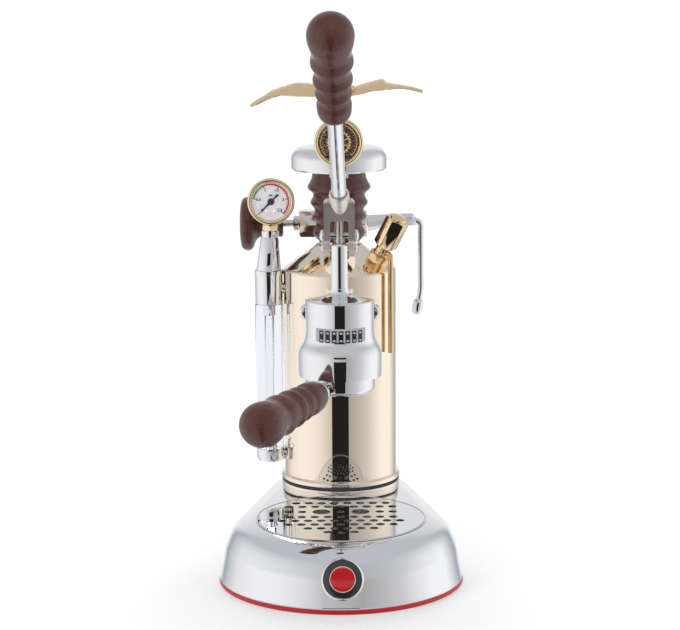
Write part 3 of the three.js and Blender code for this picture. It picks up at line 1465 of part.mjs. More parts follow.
function makeSightGlass() {
  const frame = frameAt(-sightOffset, -sightForward, 0);
  const boilerFromSight = () => boilerSeen().translate(sightOffset, sightForward, 0);
  const towardsBoiler = Math.atan2(sightForward, sightOffset);
  const branch = (height) => (
    alongX(cylinder(sightBranchRadius, 0, sightOffset, smallFacets)).rotateZ(towardsBoiler)
      .translate(0, 0, height)
  );
  const shieldInner = sightRadius - sightShieldWall;
  const headFoot = sightShieldTop + seatGap;
  const footTop = sightFootTop - seatGap;
  const glassTop = sightShieldTop + sightGlandRise;
  const glassFoot = sightFootTop - sightGlandRise / 2;
  const glandBore = (low, high) => cylinder(sightTubeRadius + seatGap, low, high, smallFacets);

  const head = turned([
    [0, headFoot - sightGlandDrop], [sightGlandRadius, headFoot - sightGlandDrop],
    [sightGlandRadius, headFoot],
    [sightRadius, headFoot], [sightRadius, sightHeadTop], [sightBandRadius, sightHeadTop + ringBevel],
    [sightBandRadius, sightBandTop - ringBevel], [sightConeRadius, sightBandTop], [0, sightBandTop],
  ], mediumFacets);
  const cone = turned([
    [0, -ringBevel], [sightConeRadius, -ringBevel], [sightConeTopRadius, sightConeHeight],
    [sightCollarRadius, sightConeHeight + ringBevel],
    [sightCollarRadius, sightConeHeight + sightCollarHeight], [0, sightConeHeight + sightCollarHeight],
  ], mediumFacets)
    .rotateY(sightLean * degree).translate(0, 0, sightBandTop);
  const headBore = glandBore(headFoot - sightGlandDrop - cutOverrun, glassTop + seatGap);
  piece(
    'sight_head', cut(join(head, cone, branch(sightUpperBranch)), headBore, boilerFromSight()), chrome,
    frame,
  );

  const foot = turned([
    [0, sightFootHeight], [sightRadius - ringBevel, sightFootHeight],
    [sightRadius, sightFootHeight + ringBevel],
    [sightRadius, footTop], [sightGlandRadius, footTop], [sightGlandRadius, footTop + sightGlandRise],
    [0, footTop + sightGlandRise],
  ], mediumFacets);
  const footBore = glandBore(glassFoot - seatGap, footTop + sightGlandRise + cutOverrun);
  piece('sight_foot', cut(join(foot, branch(sightLowerBranch)), footBore, boilerFromSight()), chrome, frame);

  const glassInner = sightTubeRadius - sightTubeWall;
  piece(
    'sight_tube', ring(glassInner, sightTubeRadius, glassFoot, glassTop, smallFacets), clearGlass, frame,
  );
  piece(
    'sight_shield', ring(shieldInner, sightRadius, sightFootTop, sightShieldTop, mediumFacets), clearGlass,
    frame,
  );
}

// Safety valve

function makeSafetyValve() {
  const azimuth = -valveAzimuth * degree;
  const seatHeight = coneTopHeight - coneSlope * (valveRadialPlace - coneTopRadius);
  const radial = new THREE.Vector3(Math.cos(azimuth), Math.sin(azimuth), 0);
  const outward = radial.clone().multiplyScalar(coneNormal.x).add(new THREE.Vector3(0, 0, coneNormal.y));
  const seat = radial.clone().multiplyScalar(valveRadialPlace).setZ(seatHeight);
  const frame = frameAt(...seat);
  frame.quaternion.setFromUnitVectors(new THREE.Vector3(0, 0, 1), outward);
  frame.updateMatrix();
  const boilerFromValve = boilerSeen().applyMatrix4(frame.matrix.clone().invert());
  const neckTop = valveBaseLength + valveNeckLength;
  const body = join(
    hexBar(valveBaseAcross, -cutOverrun, valveBaseLength),
    cylinder(valveNeckRadius, 0, neckTop),
  );
  const rootStart = new THREE.Vector3(pipeRootReach, -pipeRootForward, pipeRootHeight);
  const elbow = new THREE.Vector3(pipeReach, -pipeForward, pipeElbowHeight);
  const elbowStart = rootStart.clone().lerp(elbow, pipeElbowShare)
    .setZ((pipeRootHeight + pipeElbowHeight) / 2);
  const pipeEnd = elbow.clone().setZ(pipeFoot);
  const pipeCurve = new THREE.CatmullRomCurve3([
    rootStart, elbowStart, elbow, elbow.clone().lerp(pipeEnd, pipeElbowShare / 4),
    elbow.clone().lerp(pipeEnd, pipeElbowShare), pipeEnd,
  ], false, 'centripetal');
  piece('safety_valve_body', cut(body, boilerFromValve), gold, frame);

  const capFoot = neckTop + seatGap;
  const capTop = capFoot + valveCapLength;
  const bevels = turned([
    [0, capFoot], [valveCapAcross / 2, capFoot],
    [valveCapAcross / 2 + valveCapBevel, capFoot + valveCapBevel],
    [valveCapAcross / 2 + valveCapBevel, capTop - valveCapBevel], [valveCapAcross / 2, capTop], [0, capTop],
  ], mediumFacets);
  const crown = turned([
    [0, capTop - cutOverrun], [valveCrownRadius, capTop - cutOverrun],
    [valveCrownRadius, capTop + valveCrownHeight / 2],
    [valveCrownRadius * 0.6, capTop + valveCrownHeight], [0, capTop + valveCrownHeight],
  ], mediumFacets);
  const hexagon = hexBar(valveCapAcross, capFoot, capTop).rotateZ(quarterTurn * degree);
  const cap = solidOf(hexagon).intersect(solidOf(bevels));
  piece('safety_cap', join(cap, crown), gold, frame);

  // The drain leaves the side of the valve and hangs straight beside the boiler.
  const outer = solidOf(tubeAlong(pipeCurve, pipeRadius, pipeSteps, 6));
  const neckSpace = cylinder(valveNeckRadius + seatGap, -cutOverrun, neckTop + cutOverrun)
    .applyMatrix4(frame.matrix);
  const baseSpace = hexBar(valveBaseAcross + 2 * seatGap, -cutOverrun, valveBaseLength + seatGap)
    .applyMatrix4(frame.matrix);
  const capSpace = cylinder(
    valveCapAcross / Math.sqrt(3) + seatGap, capFoot - seatGap, capTop, mediumFacets,
  ).applyMatrix4(frame.matrix);
  const bore = cylinder(pipeRadius / 2, pipeFoot - cutOverrun, pipeFoot + pipeRadius * 3, smallFacets)
    .translate(pipeReach, -pipeForward, 0);
  piece('discharge_pipe', cut(outer, neckSpace, baseSpace, capSpace, bore), gold);
}

// Power switch and cord gland

function makeSwitch() {
  const place = [-baseRearSetback, baseRearRadius, switchAzimuth, switchHeight];
  const frame = stationFrame(...place);
  const bodySeen = baseSeen(stationMatrix(...place));
  const flange = cut(block(switchFrameWidth, switchFrameHeight, switchFrameProud * 2, 0, 0, 0), bodySeen);
  const housingWidth = switchWindowWidth + 2 * switchWall;
  const housingHeight = switchWindowHeight + 2 * switchWall;
  const housing = block(
    housingWidth, housingHeight, switchHousingDepth, 0, 0, switchFrameProud - switchHousingDepth / 2,
  );
  const window = block(
    switchWindowWidth, switchWindowHeight, switchHousingDepth, 0, 0,
    switchFrameProud + switchWall - switchHousingDepth / 2,
  );
  piece('switch_frame', cut(join(flange, housing), window), blackPlastic, frame);

  const halfHeight = switchWindowHeight / 2 - rockerEndGap;
  const width = switchWindowWidth - 2 * rockerSideGap;
  const outline = [
    [-halfHeight, -rockerDepth / 2], [halfHeight, -rockerDepth / 2], [halfHeight, rockerProud],
    [0, rockerProud - rockerDish], [-halfHeight, rockerProud],
  ];
  const rocker = sidePlate(outline, -width / 2, width / 2)
    .translate(0, 0, rockerPivotDepth).rotateX(rockerTilt * degree).translate(0, 0, -rockerPivotDepth);
  piece('switch_rocker', rocker, blackPlastic, frame);
}

function makeGland() {
  const place = [-baseRearSetback, baseRearRadius, glandAzimuth, glandHeight];
  const frame = stationFrame(...place);
  const flange = turned([
    [0, -badgeSink], [glandFlangeRadius, -badgeSink], [glandFlangeRadius, badgeProud],
    [glandRadius, badgeProud + ringBevel],
    [glandTipRadius, glandLength], [0, glandLength],
  ], smallFacets);
  const sleeve = cylinder(glandRadius, -badgeSink - cutOverrun, badgeProud, smallFacets);
  const bore = cylinder(glandBoreRadius, -glandLength, glandLength + cutOverrun, smallFacets);
  piece(
    'cord_gland', cut(join(cut(flange, baseSeen(stationMatrix(...place))), sleeve), bore), blackPlastic,
    frame,
  );
}

makeBase();
makeBadge();
makeTray();
makeBoiler();
makeCap();
makeGroup();
makePiston();
makeLever();
makeGauges();
makePortafilter();
makeSteamTap();
makeSightGlass();
makeSafetyValve();
makeSwitch();
makeGland();

export default machine;
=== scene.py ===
# %% [markdown]
# # A lever espresso machine, dressed for its portrait
#
# The working model of the machine is already packed as a frame: every solid is in its true place,
# but its round forms have few facets and its surfaces are plain. This lesson models smooth versions of the
# pieces that show, right over the solids, and gives each one its finish: mirror chrome, pale gold plate,
# satin nickel, lacquered red wood, clear acrylic and enamel. Lengths are in millimetres, and the helpers
# turn them into metres as they make a piece. Only the studio's floor, lamps and camera are in metres.

# %% Load the frame
import json
import math

import bpy
from mathutils import Euler, Matrix, Vector


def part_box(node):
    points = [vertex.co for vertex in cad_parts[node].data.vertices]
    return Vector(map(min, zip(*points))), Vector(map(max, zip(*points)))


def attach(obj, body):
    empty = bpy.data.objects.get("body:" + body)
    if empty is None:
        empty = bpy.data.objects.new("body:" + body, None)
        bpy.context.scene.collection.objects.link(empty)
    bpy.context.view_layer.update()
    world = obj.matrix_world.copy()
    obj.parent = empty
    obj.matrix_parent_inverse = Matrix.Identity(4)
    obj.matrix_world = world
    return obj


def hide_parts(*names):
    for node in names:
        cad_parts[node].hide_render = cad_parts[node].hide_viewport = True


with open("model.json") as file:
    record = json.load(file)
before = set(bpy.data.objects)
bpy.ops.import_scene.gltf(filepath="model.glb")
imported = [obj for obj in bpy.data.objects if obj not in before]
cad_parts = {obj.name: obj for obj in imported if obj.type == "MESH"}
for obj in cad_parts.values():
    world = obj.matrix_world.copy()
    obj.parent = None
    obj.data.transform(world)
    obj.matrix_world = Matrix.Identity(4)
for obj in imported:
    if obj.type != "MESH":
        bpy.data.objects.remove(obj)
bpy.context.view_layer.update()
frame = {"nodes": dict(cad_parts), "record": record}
MM = 0.001

# %% [markdown]
# ## Sizes from the frame
#
# A solid's box gives its middle, its radius and its heights, so a piece that replaces it starts in the
# right place. Most profiles below are written from such a box: in from its half width, and up or down from
# its heights.


# %% Read the boxes of the solids
def box(node):
    """The two corners of a solid's box, in millimetres."""
    low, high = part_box(node)
    return low / MM, high / MM


def middle_of(node):
    low, high = box(node)
    return (low + high) / 2


def radius_of(node):
    low, high = box(node)
    return (high.x - low.x) / 2


def heights_of(node):
    low, high = box(node)
    return low.z, high.z


boiler_radius = radius_of("boiler_vessel")
group_axis = middle_of("filter_basket")
print("boiler radius", round(boiler_radius, 1), "mm, group axis at y", round(group_axis.y, 1), "mm")

# %% [markdown]
# ## Modelling by hand, in code
#
# A turned piece is drawn as half of its outline and spun about its axis, as on a lathe. The chain of
# edges grows from one point by extruding, which is what a modeller does with the mouse. Other pieces
# start from a traced outline that is filled and extruded. Small bevels catch the light on the rims.

# %% Helpers for edit mode
spin_steps = 96
weld_distance = 0.002 * MM
seed_size = MM


def in_metres(matrix):
    """The same turn, with its offset changed from millimetres to metres."""
    scaled = matrix.copy()
    scaled.translation *= MM
    return scaled


def only(piece):
    """Leaves edit mode and selects one piece."""
    if bpy.context.mode != "OBJECT":
        bpy.ops.object.mode_set(mode="OBJECT")
    bpy.ops.object.select_all(action="DESELECT")
    piece.select_set(True)
    bpy.context.view_layer.objects.active = piece
    return piece


def added(name, operator, location=(0, 0, 0), **settings):
    """A new piece from one of the modeller's own starting forms."""
    if bpy.context.mode != "OBJECT":
        bpy.ops.object.mode_set(mode="OBJECT")
    bpy.ops.object.select_all(action="DESELECT")
    operator(location=location, **settings)
    bpy.context.object.name = name
    return bpy.context.object


def modified(piece, kind, **settings):
    """Adds a modifier, sets it and applies it."""
    only(piece)
    step = piece.modifiers.new(kind.lower(), kind)
    for key, value in settings.items():
        setattr(step, key, value)
    bpy.ops.object.modifier_apply(modifier=step.name)
    return piece


def trace(name, points):
    """Leaves edit mode on, with a chain of edges through the points."""
    points = [[c * MM for c in point] for point in points]
    piece = added(name, bpy.ops.mesh.primitive_plane_add, size=seed_size)
    bpy.ops.object.mode_set(mode="EDIT")
    bpy.ops.mesh.select_all(action="SELECT")
    bpy.ops.mesh.merge(type="CENTER")
    bpy.ops.transform.translate(value=points[0])
    for here, there in zip(points, points[1:]):
        step = [b - a for a, b in zip(here, there)]
        bpy.ops.mesh.extrude_region_move(TRANSFORM_OT_translate={"value": step})
    bpy.ops.mesh.select_all(action="SELECT")
    return piece


def tidy_mesh():
    bpy.ops.mesh.select_all(action="SELECT")
    bpy.ops.mesh.remove_doubles(threshold=weld_distance)
    bpy.ops.mesh.normals_make_consistent(inside=False)
    bpy.ops.object.mode_set(mode="OBJECT")


def arc(centre_x, centre_y, radius, start, stop, steps):
    """Points on an arc in a plane, from one angle to another."""
    angles = [start + (stop - start) * i / steps for i in range(steps + 1)]
    return [(centre_x + radius * math.cos(a), centre_y + radius * math.sin(a)) for a in angles]


def turned(name, profile, steps=spin_steps):
    """A piece turned about Z from [radius, height] points; the outline closes on the axis or on itself."""
    piece = trace(name, [(radius, 0, height) for radius, height in profile])
    bpy.ops.mesh.spin(steps=steps, angle=2 * math.pi, center=(0, 0, 0), axis=(0, 0, 1))
    tidy_mesh()
    return piece


def drum(name, radius, low, high, steps=spin_steps):
    """A plain cylinder about Z."""
    return turned(name, [(0, low), (radius, low), (radius, high), (0, high)], steps)


def slab(name, outline, low, high):
    """A flat outline in X and Y, extruded from one height to another."""
    points = [(x, y, low) for x, y in outline]
    piece = trace(name, points + points[:1])
    bpy.ops.mesh.remove_doubles(threshold=weld_distance)
    bpy.ops.mesh.select_all(action="SELECT")
    bpy.ops.mesh.edge_face_add()
    bpy.ops.mesh.extrude_region_move(TRANSFORM_OT_translate={"value": (0, 0, (high - low) * MM)})
    tidy_mesh()
    return piece


def place(piece, matrix):
    """Moves a piece by a frame whose offset is in millimetres."""
    only(piece)
    piece.matrix_world = in_metres(matrix)
    bpy.ops.object.transform_apply(location=True, rotation=True, scale=True)
    return piece


def lift(piece, offset):
    return place(piece, Matrix.Translation(Vector(offset)))


def aimed(origin, direction):
    """A frame at origin whose Z runs along direction."""
    turn = Vector((0, 0, 1)).rotation_difference(Vector(direction).normalized())
    return Matrix.Translation(Vector(origin)) @ turn.to_matrix().to_4x4()


stand_up = Matrix(((1, 0, 0, 0), (0, 0, -1, 0), (0, 1, 0, 0), (0, 0, 0, 1)))


def facing(centre):
    """A frame at centre whose Z looks out at the front of the machine."""
    return Matrix.Translation(Vector(centre)) @ stand_up


def soften(piece, width, segments=3, angle=35):
    return modified(piece, "BEVEL", width=width * MM, segments=segments, limit_method="ANGLE",
                    angle_limit=math.radians(angle), harden_normals=False)


def change(piece, tool, operation="DIFFERENCE"):
    """Cuts a tool from a piece, joins it on, or keeps only what both fill."""
    modified(piece, "BOOLEAN", operation=operation, solver="EXACT", object=tool)
    bpy.data.objects.remove(tool)
    return piece


def joined(name, *pieces):
    only(pieces[0])
    for other in pieces[1:]:
        other.select_set(True)
    bpy.ops.object.join()
    pieces[0].name = name
    return pieces[0]


def smooth(piece, angle=38):
    only(piece)
    bpy.ops.object.shade_smooth_by_angle(angle=math.radians(angle))
    return piece


def block():
    """A cube of one millimetre, to be stretched as it is placed."""
    return added("block", bpy.ops.mesh.primitive_cube_add, size=MM)


def hexagon(name, across, low, high, bevel_height):
    """A hexagonal bar about Z whose corners are turned off at the top and the bottom."""
    corner = across / math.sqrt(3)
    bar = added(name, bpy.ops.mesh.primitive_cylinder_add, (0, 0, (low + high) / 2 * MM),
                vertices=6, radius=corner * MM, depth=(high - low) * MM)
    bpy.ops.object.transform_apply(location=True, rotation=True, scale=True)
    reach = across / 2
    wide = reach + (corner - reach) * 1.05
    collar = turned("corner cutter", [
        (0, low), (reach, low), (wide, low + bevel_height), (wide, high - bevel_height),
        (reach, high), (0, high),
    ], 48)
    return change(bar, collar, "INTERSECT")


def curve_through(points, steps=6):
    """Points of a smooth run through a few chosen points."""
    run = []
    last = len(points) - 1
    for i in range(last):
        before = points[max(i - 1, 0)]
        here, there = points[i], points[i + 1]
        after = points[min(i + 2, last)]
        for k in range(steps):
            t = k / steps
            run.append(tuple(
                0.5 * (2 * h + (n - b) * t + (2 * b - 5 * h + 4 * n - a) * t * t
                       + (3 * h - b - 3 * n + a) * t ** 3)
                for b, h, n, a in zip(before, here, there, after)
            ))
    return run + [tuple(points[-1])]


def tube(name, points, radius, steps):
    """A round bar that follows points on a smooth curve."""
    bar = added(name, bpy.ops.curve.primitive_bezier_curve_add)
    line = bar.data
    line.splines.clear()
    spline = line.splines.new("POLY")
    run = curve_through(points, steps)
    spline.points.add(len(run) - 1)
    for point, place_of in zip(spline.points, run):
        point.co = (*[c * MM for c in place_of], 1)
    line.dimensions = "3D"
    line.bevel_depth = radius * MM
    line.bevel_resolution = 6
    line.use_fill_caps = True
    only(bar)
    bpy.ops.object.convert(target="MESH")
    return bpy.context.object


print("helpers ready")

# %% [markdown]
# ## Writing finishes
#
# A finish is a small network of nodes. The two classes below keep that readable: an expression on a
# value adds its own Math node, and every other node is asked for by its type, settings and inputs.


# %% A class for values and a class for finishes
class Value:
    """A number that varies over a surface."""

    def __init__(self, finish, socket):
        self.finish = finish
        self.socket = socket

    def _with(self, operation, first, second):
        return self.finish.node("ShaderNodeMath", {"operation": operation}, {0: first, 1: second})

    def __add__(self, other):
        return self._with("ADD", self, other)

    __radd__ = __add__

    def __sub__(self, other):
        return self._with("SUBTRACT", self, other)

    def __rsub__(self, other):
        return self._with("SUBTRACT", other, self)

    def __mul__(self, other):
        return self._with("MULTIPLY", self, other)

    __rmul__ = __mul__

    def __lt__(self, other):
        return self._with("LESS_THAN", self, other)

    def __gt__(self, other):
        return self._with("GREATER_THAN", self, other)


class Network:
    """A tree of nodes that is written as expressions."""

    def __init__(self, tree):
        self.tree = tree

    def node(self, kind, settings, inputs, output=0):
        made = self.tree.nodes.new(kind)
        for key, value in settings.items():
            if key == "stops":
                ramp = made.color_ramp
                while len(ramp.elements) < len(value):
                    ramp.elements.new(0.5)
                for element, (position, colour) in zip(ramp.elements, value):
                    element.position = position
                    element.color = (*colour[:3], 1)
            else:
                setattr(made, key, value)
        for key, value in inputs.items():
            self.feed(made.inputs[key], value)
        return Value(self, made.outputs[output])

    def feed(self, socket, value):
        if isinstance(value, Value):
            self.tree.links.new(value.socket, socket)
        else:
            socket.default_value = value

    def ramp(self, factor, stops):
        return self.node("ShaderNodeValToRGB", {"stops": stops}, {"Fac": factor})

    def blend(self, factor, first, second):
        first, second = (c if isinstance(c, Value) else (*c, 1) for c in (first, second))
        return self.node("ShaderNodeMix", {"data_type": "RGBA"}, {0: factor, 6: first, 7: second}, 2)


class Finish(Network):
    """A material with one Principled shader."""

    def __init__(self, name, colour, roughness, metallic=0.0, **fixed):
        self.material = bpy.data.materials.new(name)
        self.material.use_nodes = True
        super().__init__(self.material.node_tree)
        self.shader = self.tree.nodes["Principled BSDF"]
        self.set("Base Color", colour)
        self.set("Roughness", roughness)
        self.set("Metallic", metallic)
        for socket, value in fixed.items():
            self.set(socket.replace("_", " "), value)
        self.material.diffuse_color = (*colour[:3], 1)

    def set(self, name, value):
        if name == "Base Color" and not isinstance(value, Value) and len(value) == 3:
            value = (*value, 1)
        self.feed(self.shader.inputs[name], value)
        return self

    def place(self, matrix=None, scale=(1, 1, 1)):
        """Object coordinates, turned and moved so that a pattern lies along the piece."""
        spot = self.node("ShaderNodeTexCoord", {}, {}, 3)
        if matrix is not None:
            inverse = in_metres(matrix).inverted()
            spot = self.node("ShaderNodeMapping", {}, {
                "Vector": spot, "Location": inverse.to_translation(), "Rotation": inverse.to_euler(),
            })
        if tuple(scale) != (1, 1, 1):
            spot = self.node("ShaderNodeMapping", {}, {"Vector": spot, "Scale": scale})
        return spot

    def noise(self, spot, scale, detail=3.0, rough=0.5):
        return self.node("ShaderNodeTexNoise", {}, {
            "Vector": spot, "Scale": scale, "Detail": detail, "Roughness": rough,
        })

    def bump(self, height, strength, distance):
        relief = self.node("ShaderNodeBump", {},
                           {"Height": height, "Strength": strength, "Distance": distance * MM})
        return self.set("Normal", relief)

    def range(self, value, low, high):
        return value * (high - low) + low


print("finish classes ready")

# %% [markdown]
# ## Plated metal
#
# Chrome is a mirror, so its look is the room's. A trace of uneven polish keeps it from looking computed:
# a slow change of roughness, and a ripple so low that it only bends the reflections a little.
# The gold is the same plate with a pale champagne colour, a little deeper where the plate is thicker.


# %% Chrome, gold, nickel and steel
def plated(name, colour, roughness, ripple=0.02, spread=0.03, tint=None):
    finish = Finish(name, colour, roughness, 1.0)
    spot = finish.place()
    cloud = finish.noise(spot, 45.0, 2.0)
    finish.set("Roughness", finish.range(cloud, roughness, roughness + spread))
    if tint is not None:
        finish.set("Base Color", finish.blend(cloud, colour, tint))
    finish.bump(finish.noise(spot, 18.0, 1.0), ripple, 0.2)
    return finish


chrome = plated("mirror chrome", (0.88, 0.885, 0.9), 0.02, 0.01, 0.02)
champagne = plated("pale champagne gold plate", (0.985, 0.87, 0.735), 0.03, 0.01, 0.02,
                   tint=(0.98, 0.845, 0.7))
gold = plated("pale gold plate", (0.95, 0.78, 0.5), 0.04, 0.015, tint=(0.93, 0.73, 0.44))
deep_gold = plated("warm gold plate", (0.92, 0.66, 0.36), 0.06, tint=(0.86, 0.58, 0.29))


def brushed(name, colour, low, high, grain):
    """Fine lines from a noise that is stretched along one direction."""
    finish = Finish(name, colour, low, 1.0)
    lines = finish.noise(finish.place(scale=grain), 1.0, 4.0, 0.6)
    finish.set("Roughness", finish.range(lines, low, high))
    finish.set("Base Color", finish.blend(lines, tuple(0.86 * c for c in colour), colour))
    finish.bump(lines, 0.04, 0.02)
    return finish


def moulded_metal(name, colour):
    """A cast skin: part mirror, part matt."""
    finish = plated(name, colour, 0.26, 0.03, 0.1)
    return finish.set("Metallic", finish.range(finish.noise(finish.place(), 300.0, 2.0), 0.8, 0.9))


nickel = brushed("satin nickel", (0.76, 0.7, 0.64), 0.16, 0.24, (500, 500, 90))
bright_nickel = plated("bright nickel", (0.8, 0.77, 0.73), 0.08, 0.03, 0.06)
casting = moulded_metal("satin nickel casting", (0.84, 0.78, 0.72))
steel = brushed("pressed steel", (0.78, 0.785, 0.79), 0.12, 0.24, (260, 260, 900))
grid_steel = plated("polished grid steel", (0.84, 0.845, 0.86), 0.02, 0.008, 0.02)
metals = (chrome, champagne, gold, deep_gold, nickel, bright_nickel, casting, steel, grid_steel)
print("metals:", [finish.material.name for finish in metals])

# %% [markdown]
# ## Lacquered wood
#
# The grips, the knob and the column are turned from a dark red hardwood under a satin lacquer. The grain
# runs along the axis of each piece, so the pattern is turned with it: long fibres from a stretched noise,
# broad bands from a slower one, and short dark pores.


# %% The wood of one turned piece
def wood(name, along):
    finish = Finish(name, (0.14, 0.045, 0.034), 0.34, Coat_Weight=0.5, Coat_Roughness=0.12,
                    Specular_IOR_Level=0.3)
    spot = finish.place(along)

    def streaks(scale, detail, rough):
        stretched = finish.node("ShaderNodeMapping", {}, {"Vector": spot, "Scale": scale})
        return finish.noise(stretched, 1.0, detail, rough)

    band = streaks((75, 75, 7), 3.0, 0.55)
    fibre = streaks((700, 700, 26), 5.0, 0.6)
    pore = streaks((1500, 1500, 90), 2.0, 0.5)
    black, white = (0, 0, 0), (1, 1, 1)
    dark_pore = finish.ramp(pore, [(0.0, black), (0.36, black), (0.46, white), (1.0, white)])
    tone = finish.ramp(band * 0.62 + fibre * 0.38, [
        (0.3, (0.07, 0.021, 0.016)), (0.46, (0.1, 0.031, 0.023)), (0.58, (0.13, 0.041, 0.03)),
        (0.74, (0.17, 0.057, 0.043)),
    ])
    finish.set("Base Color", finish.blend(dark_pore, (0.05, 0.016, 0.014), tone))
    finish.set("Roughness", finish.range(fibre, 0.26, 0.44))
    finish.bump(fibre * 0.6 + dark_pore * 0.4, 0.1, 0.06)
    return finish


# %% [markdown]
# ## Plastics, rubber and glass
#
# The red edge strip is a soft moulding with a fine skin texture. The sight shield is clear acrylic: it is
# seen by its bright edges, so it bends light a little and is otherwise left clear.


# %% Moulded and clear finishes
def moulded(name, colour, roughness, grain=900.0, relief=0.08, **fixed):
    finish = Finish(name, colour, roughness, **fixed)
    skin = finish.noise(finish.place(), grain, 3.0)
    finish.set("Roughness", finish.range(skin, roughness * 0.85, roughness * 1.2))
    darker, lighter = tuple(0.85 * c for c in colour), tuple(min(1, 1.12 * c) for c in colour)
    finish.set("Base Color", finish.blend(skin, darker, lighter))
    finish.bump(skin, relief, 0.05)
    return finish


def clear(name, tint, ior):
    finish = Finish(name, tint, 0.02, Transmission_Weight=1.0, IOR=ior)
    finish.set("Roughness", finish.range(finish.noise(finish.place(), 60.0, 2.0), 0.0, 0.006))
    return finish


red_rubber = moulded("red edge moulding", (0.62, 0.012, 0.02), 0.34)
black_rubber = moulded("black rubber", (0.02, 0.02, 0.022), 0.6)
blue_fibre = moulded("blue-grey fibre gasket", (0.06, 0.078, 0.115), 0.7, 1400.0, 0.3)
white_seal = moulded("white sealing washer", (0.72, 0.7, 0.66), 0.5)
black_plastic = moulded("black moulded plastic", (0.022, 0.022, 0.024), 0.42)
black_paint = moulded("black paint", (0.014, 0.014, 0.015), 0.35)
needle_red = moulded("red needle paint", (0.68, 0.03, 0.035), 0.4)
seal_lip = moulded("seal lip", (0.05, 0.055, 0.062), 0.5)
acrylic = clear("clear acrylic", (0.9, 0.905, 0.94), 1.08)
gauge_glass = clear("gauge glass", (0.99, 0.99, 0.99), 1.12)
print("moulded and clear finishes ready")

# %% [markdown]
# ## Dressing a piece
#
# A finished piece stands for one solid, moves with that solid's body and takes its place in the list
# of finishes. Solids whose shape is already right keep their mesh and only get a finish.

# %% Dress new pieces and kept solids
body_of_node = {node: body for body, members in frame["record"]["behaviour"]["bodies"].items()
                for node in members}
dressed = []


def paint(piece, finish):
    piece.data.materials.clear()
    piece.data.materials.append(finish.material)


def dress(piece, node, finish, replaces=True):
    paint(piece, finish)
    if replaces:
        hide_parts(node)
    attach(piece, body_of_node[node])
    dressed.append(piece.name)
    return piece


def keep(node, finish):
    paint(frame["nodes"][node], finish)


# %% [markdown]
# ## The base
#
# The base is one pressed shell. Its plan is a teardrop: two arcs, large at the tray and small behind
# the boiler, joined by straight flanks. The side climbs and leans in, then rolls over into a flat top.
# Insetting the filled outline again and again, a little higher each time, makes exactly that form.

# %% Draw the teardrop plan
base_low, base_high = box("base_shell")
tray_axis = middle_of("drip_tray")
front_radius = (base_high.x - base_low.x) / 2
front_centre = base_low.y + front_radius
rear_radius = 73
rear_centre = base_high.y - rear_radius
taper = math.asin((front_radius - rear_radius) / (rear_centre - front_centre))


def teardrop(inset):
    rear = arc(0, rear_centre, rear_radius - inset, taper, math.pi - taper, 48)
    front = arc(0, front_centre, front_radius - inset, math.pi - taper, 2 * math.pi + taper, 84)
    return rear + front


print("taper", round(math.degrees(taper), 1), "degrees")

# %% Press the shell
side_points = [
    (0, 0), (0.5, 0.5), (0.8, 1.6), (1.75, 6.4), (2.7, 11), (3.5, 15.3), (4.3, 19.5), (5.25, 23.8),
    (6.8, 28), (8.5, 32.3), (10.5, 36.5), (13.2, 40.3), (17, 43), (21.5, 44.8), (26, 46), (29, 46.4),
]
base_top = base_low.z + side_points[-1][1]
side = curve_through(side_points, 3)
outline = [(x, y, base_low.z) for x, y in teardrop(0)]
base = trace("base_shell_pressed", outline + outline[:1])
bpy.ops.mesh.remove_doubles(threshold=weld_distance)
bpy.ops.mesh.select_all(action="SELECT")
bpy.ops.mesh.edge_face_add()
for (inward, upward), (next_inward, next_upward) in zip(side, side[1:]):
    bpy.ops.mesh.inset(thickness=(next_inward - inward) * MM, depth=(upward - next_upward) * MM)
tidy_mesh()
well_radius = radius_of("drip_tray") - 3.4
well = drum("tray well", well_radius, base_low.z + 2, base_high.z + 5)
change(base, lift(well, (tray_axis.x, tray_axis.y, 0)))
dress(smooth(base, 30), "base_shell", chrome)
print("base top at", round(base_top, 1), "mm")

# %% Run the red strip round its foot
trim_low, trim_high = 0.05, 4
trim = slab("edge_strip", teardrop(0), trim_low, trim_high)
soften(trim, 0.9, 4, 60)
dress(smooth(trim, 40), "base_trim_ring", red_rubber)
keep("bottom_plate", black_paint)
print("edge strip", round(trim_high - trim_low, 1), "mm high")

# %% [markdown]
# ## The badge
#
# The badge sits on the leaning front of the base, so it is turned on its own axis and then tipped back.
# A domed chrome rim holds an enamel disc: black outside, and a plain red centre with a bright border.

# %% Turn and tip the badge
badge_tilt = 12.5
badge_low, badge_high = box("badge_bezel")
badge_radius = radius_of("badge_bezel")
badge_height = (badge_low.z + badge_high.z) / 2
badge_normal = Vector((0, -math.cos(math.radians(badge_tilt)), math.sin(math.radians(badge_tilt))))
badge_front = Vector((
    (badge_low.x + badge_high.x) / 2, badge_low.y + badge_radius * math.sin(math.radians(badge_tilt)),
    badge_height,
))
badge_place = aimed(badge_front, badge_normal)
badge_sink = 5
rim_width = 1.6
rim_inner = badge_radius - rim_width
bezel = turned("badge_rim", [
    (rim_inner, -badge_sink), (badge_radius, -badge_sink), (badge_radius, -0.9),
    (badge_radius - 0.25, -0.35), (badge_radius - 0.75, 0), (rim_inner + 0.3, -0.3),
    (rim_inner, -0.9), (rim_inner, -badge_sink),
])
dress(smooth(place(bezel, badge_place), 50), "badge_bezel", chrome)

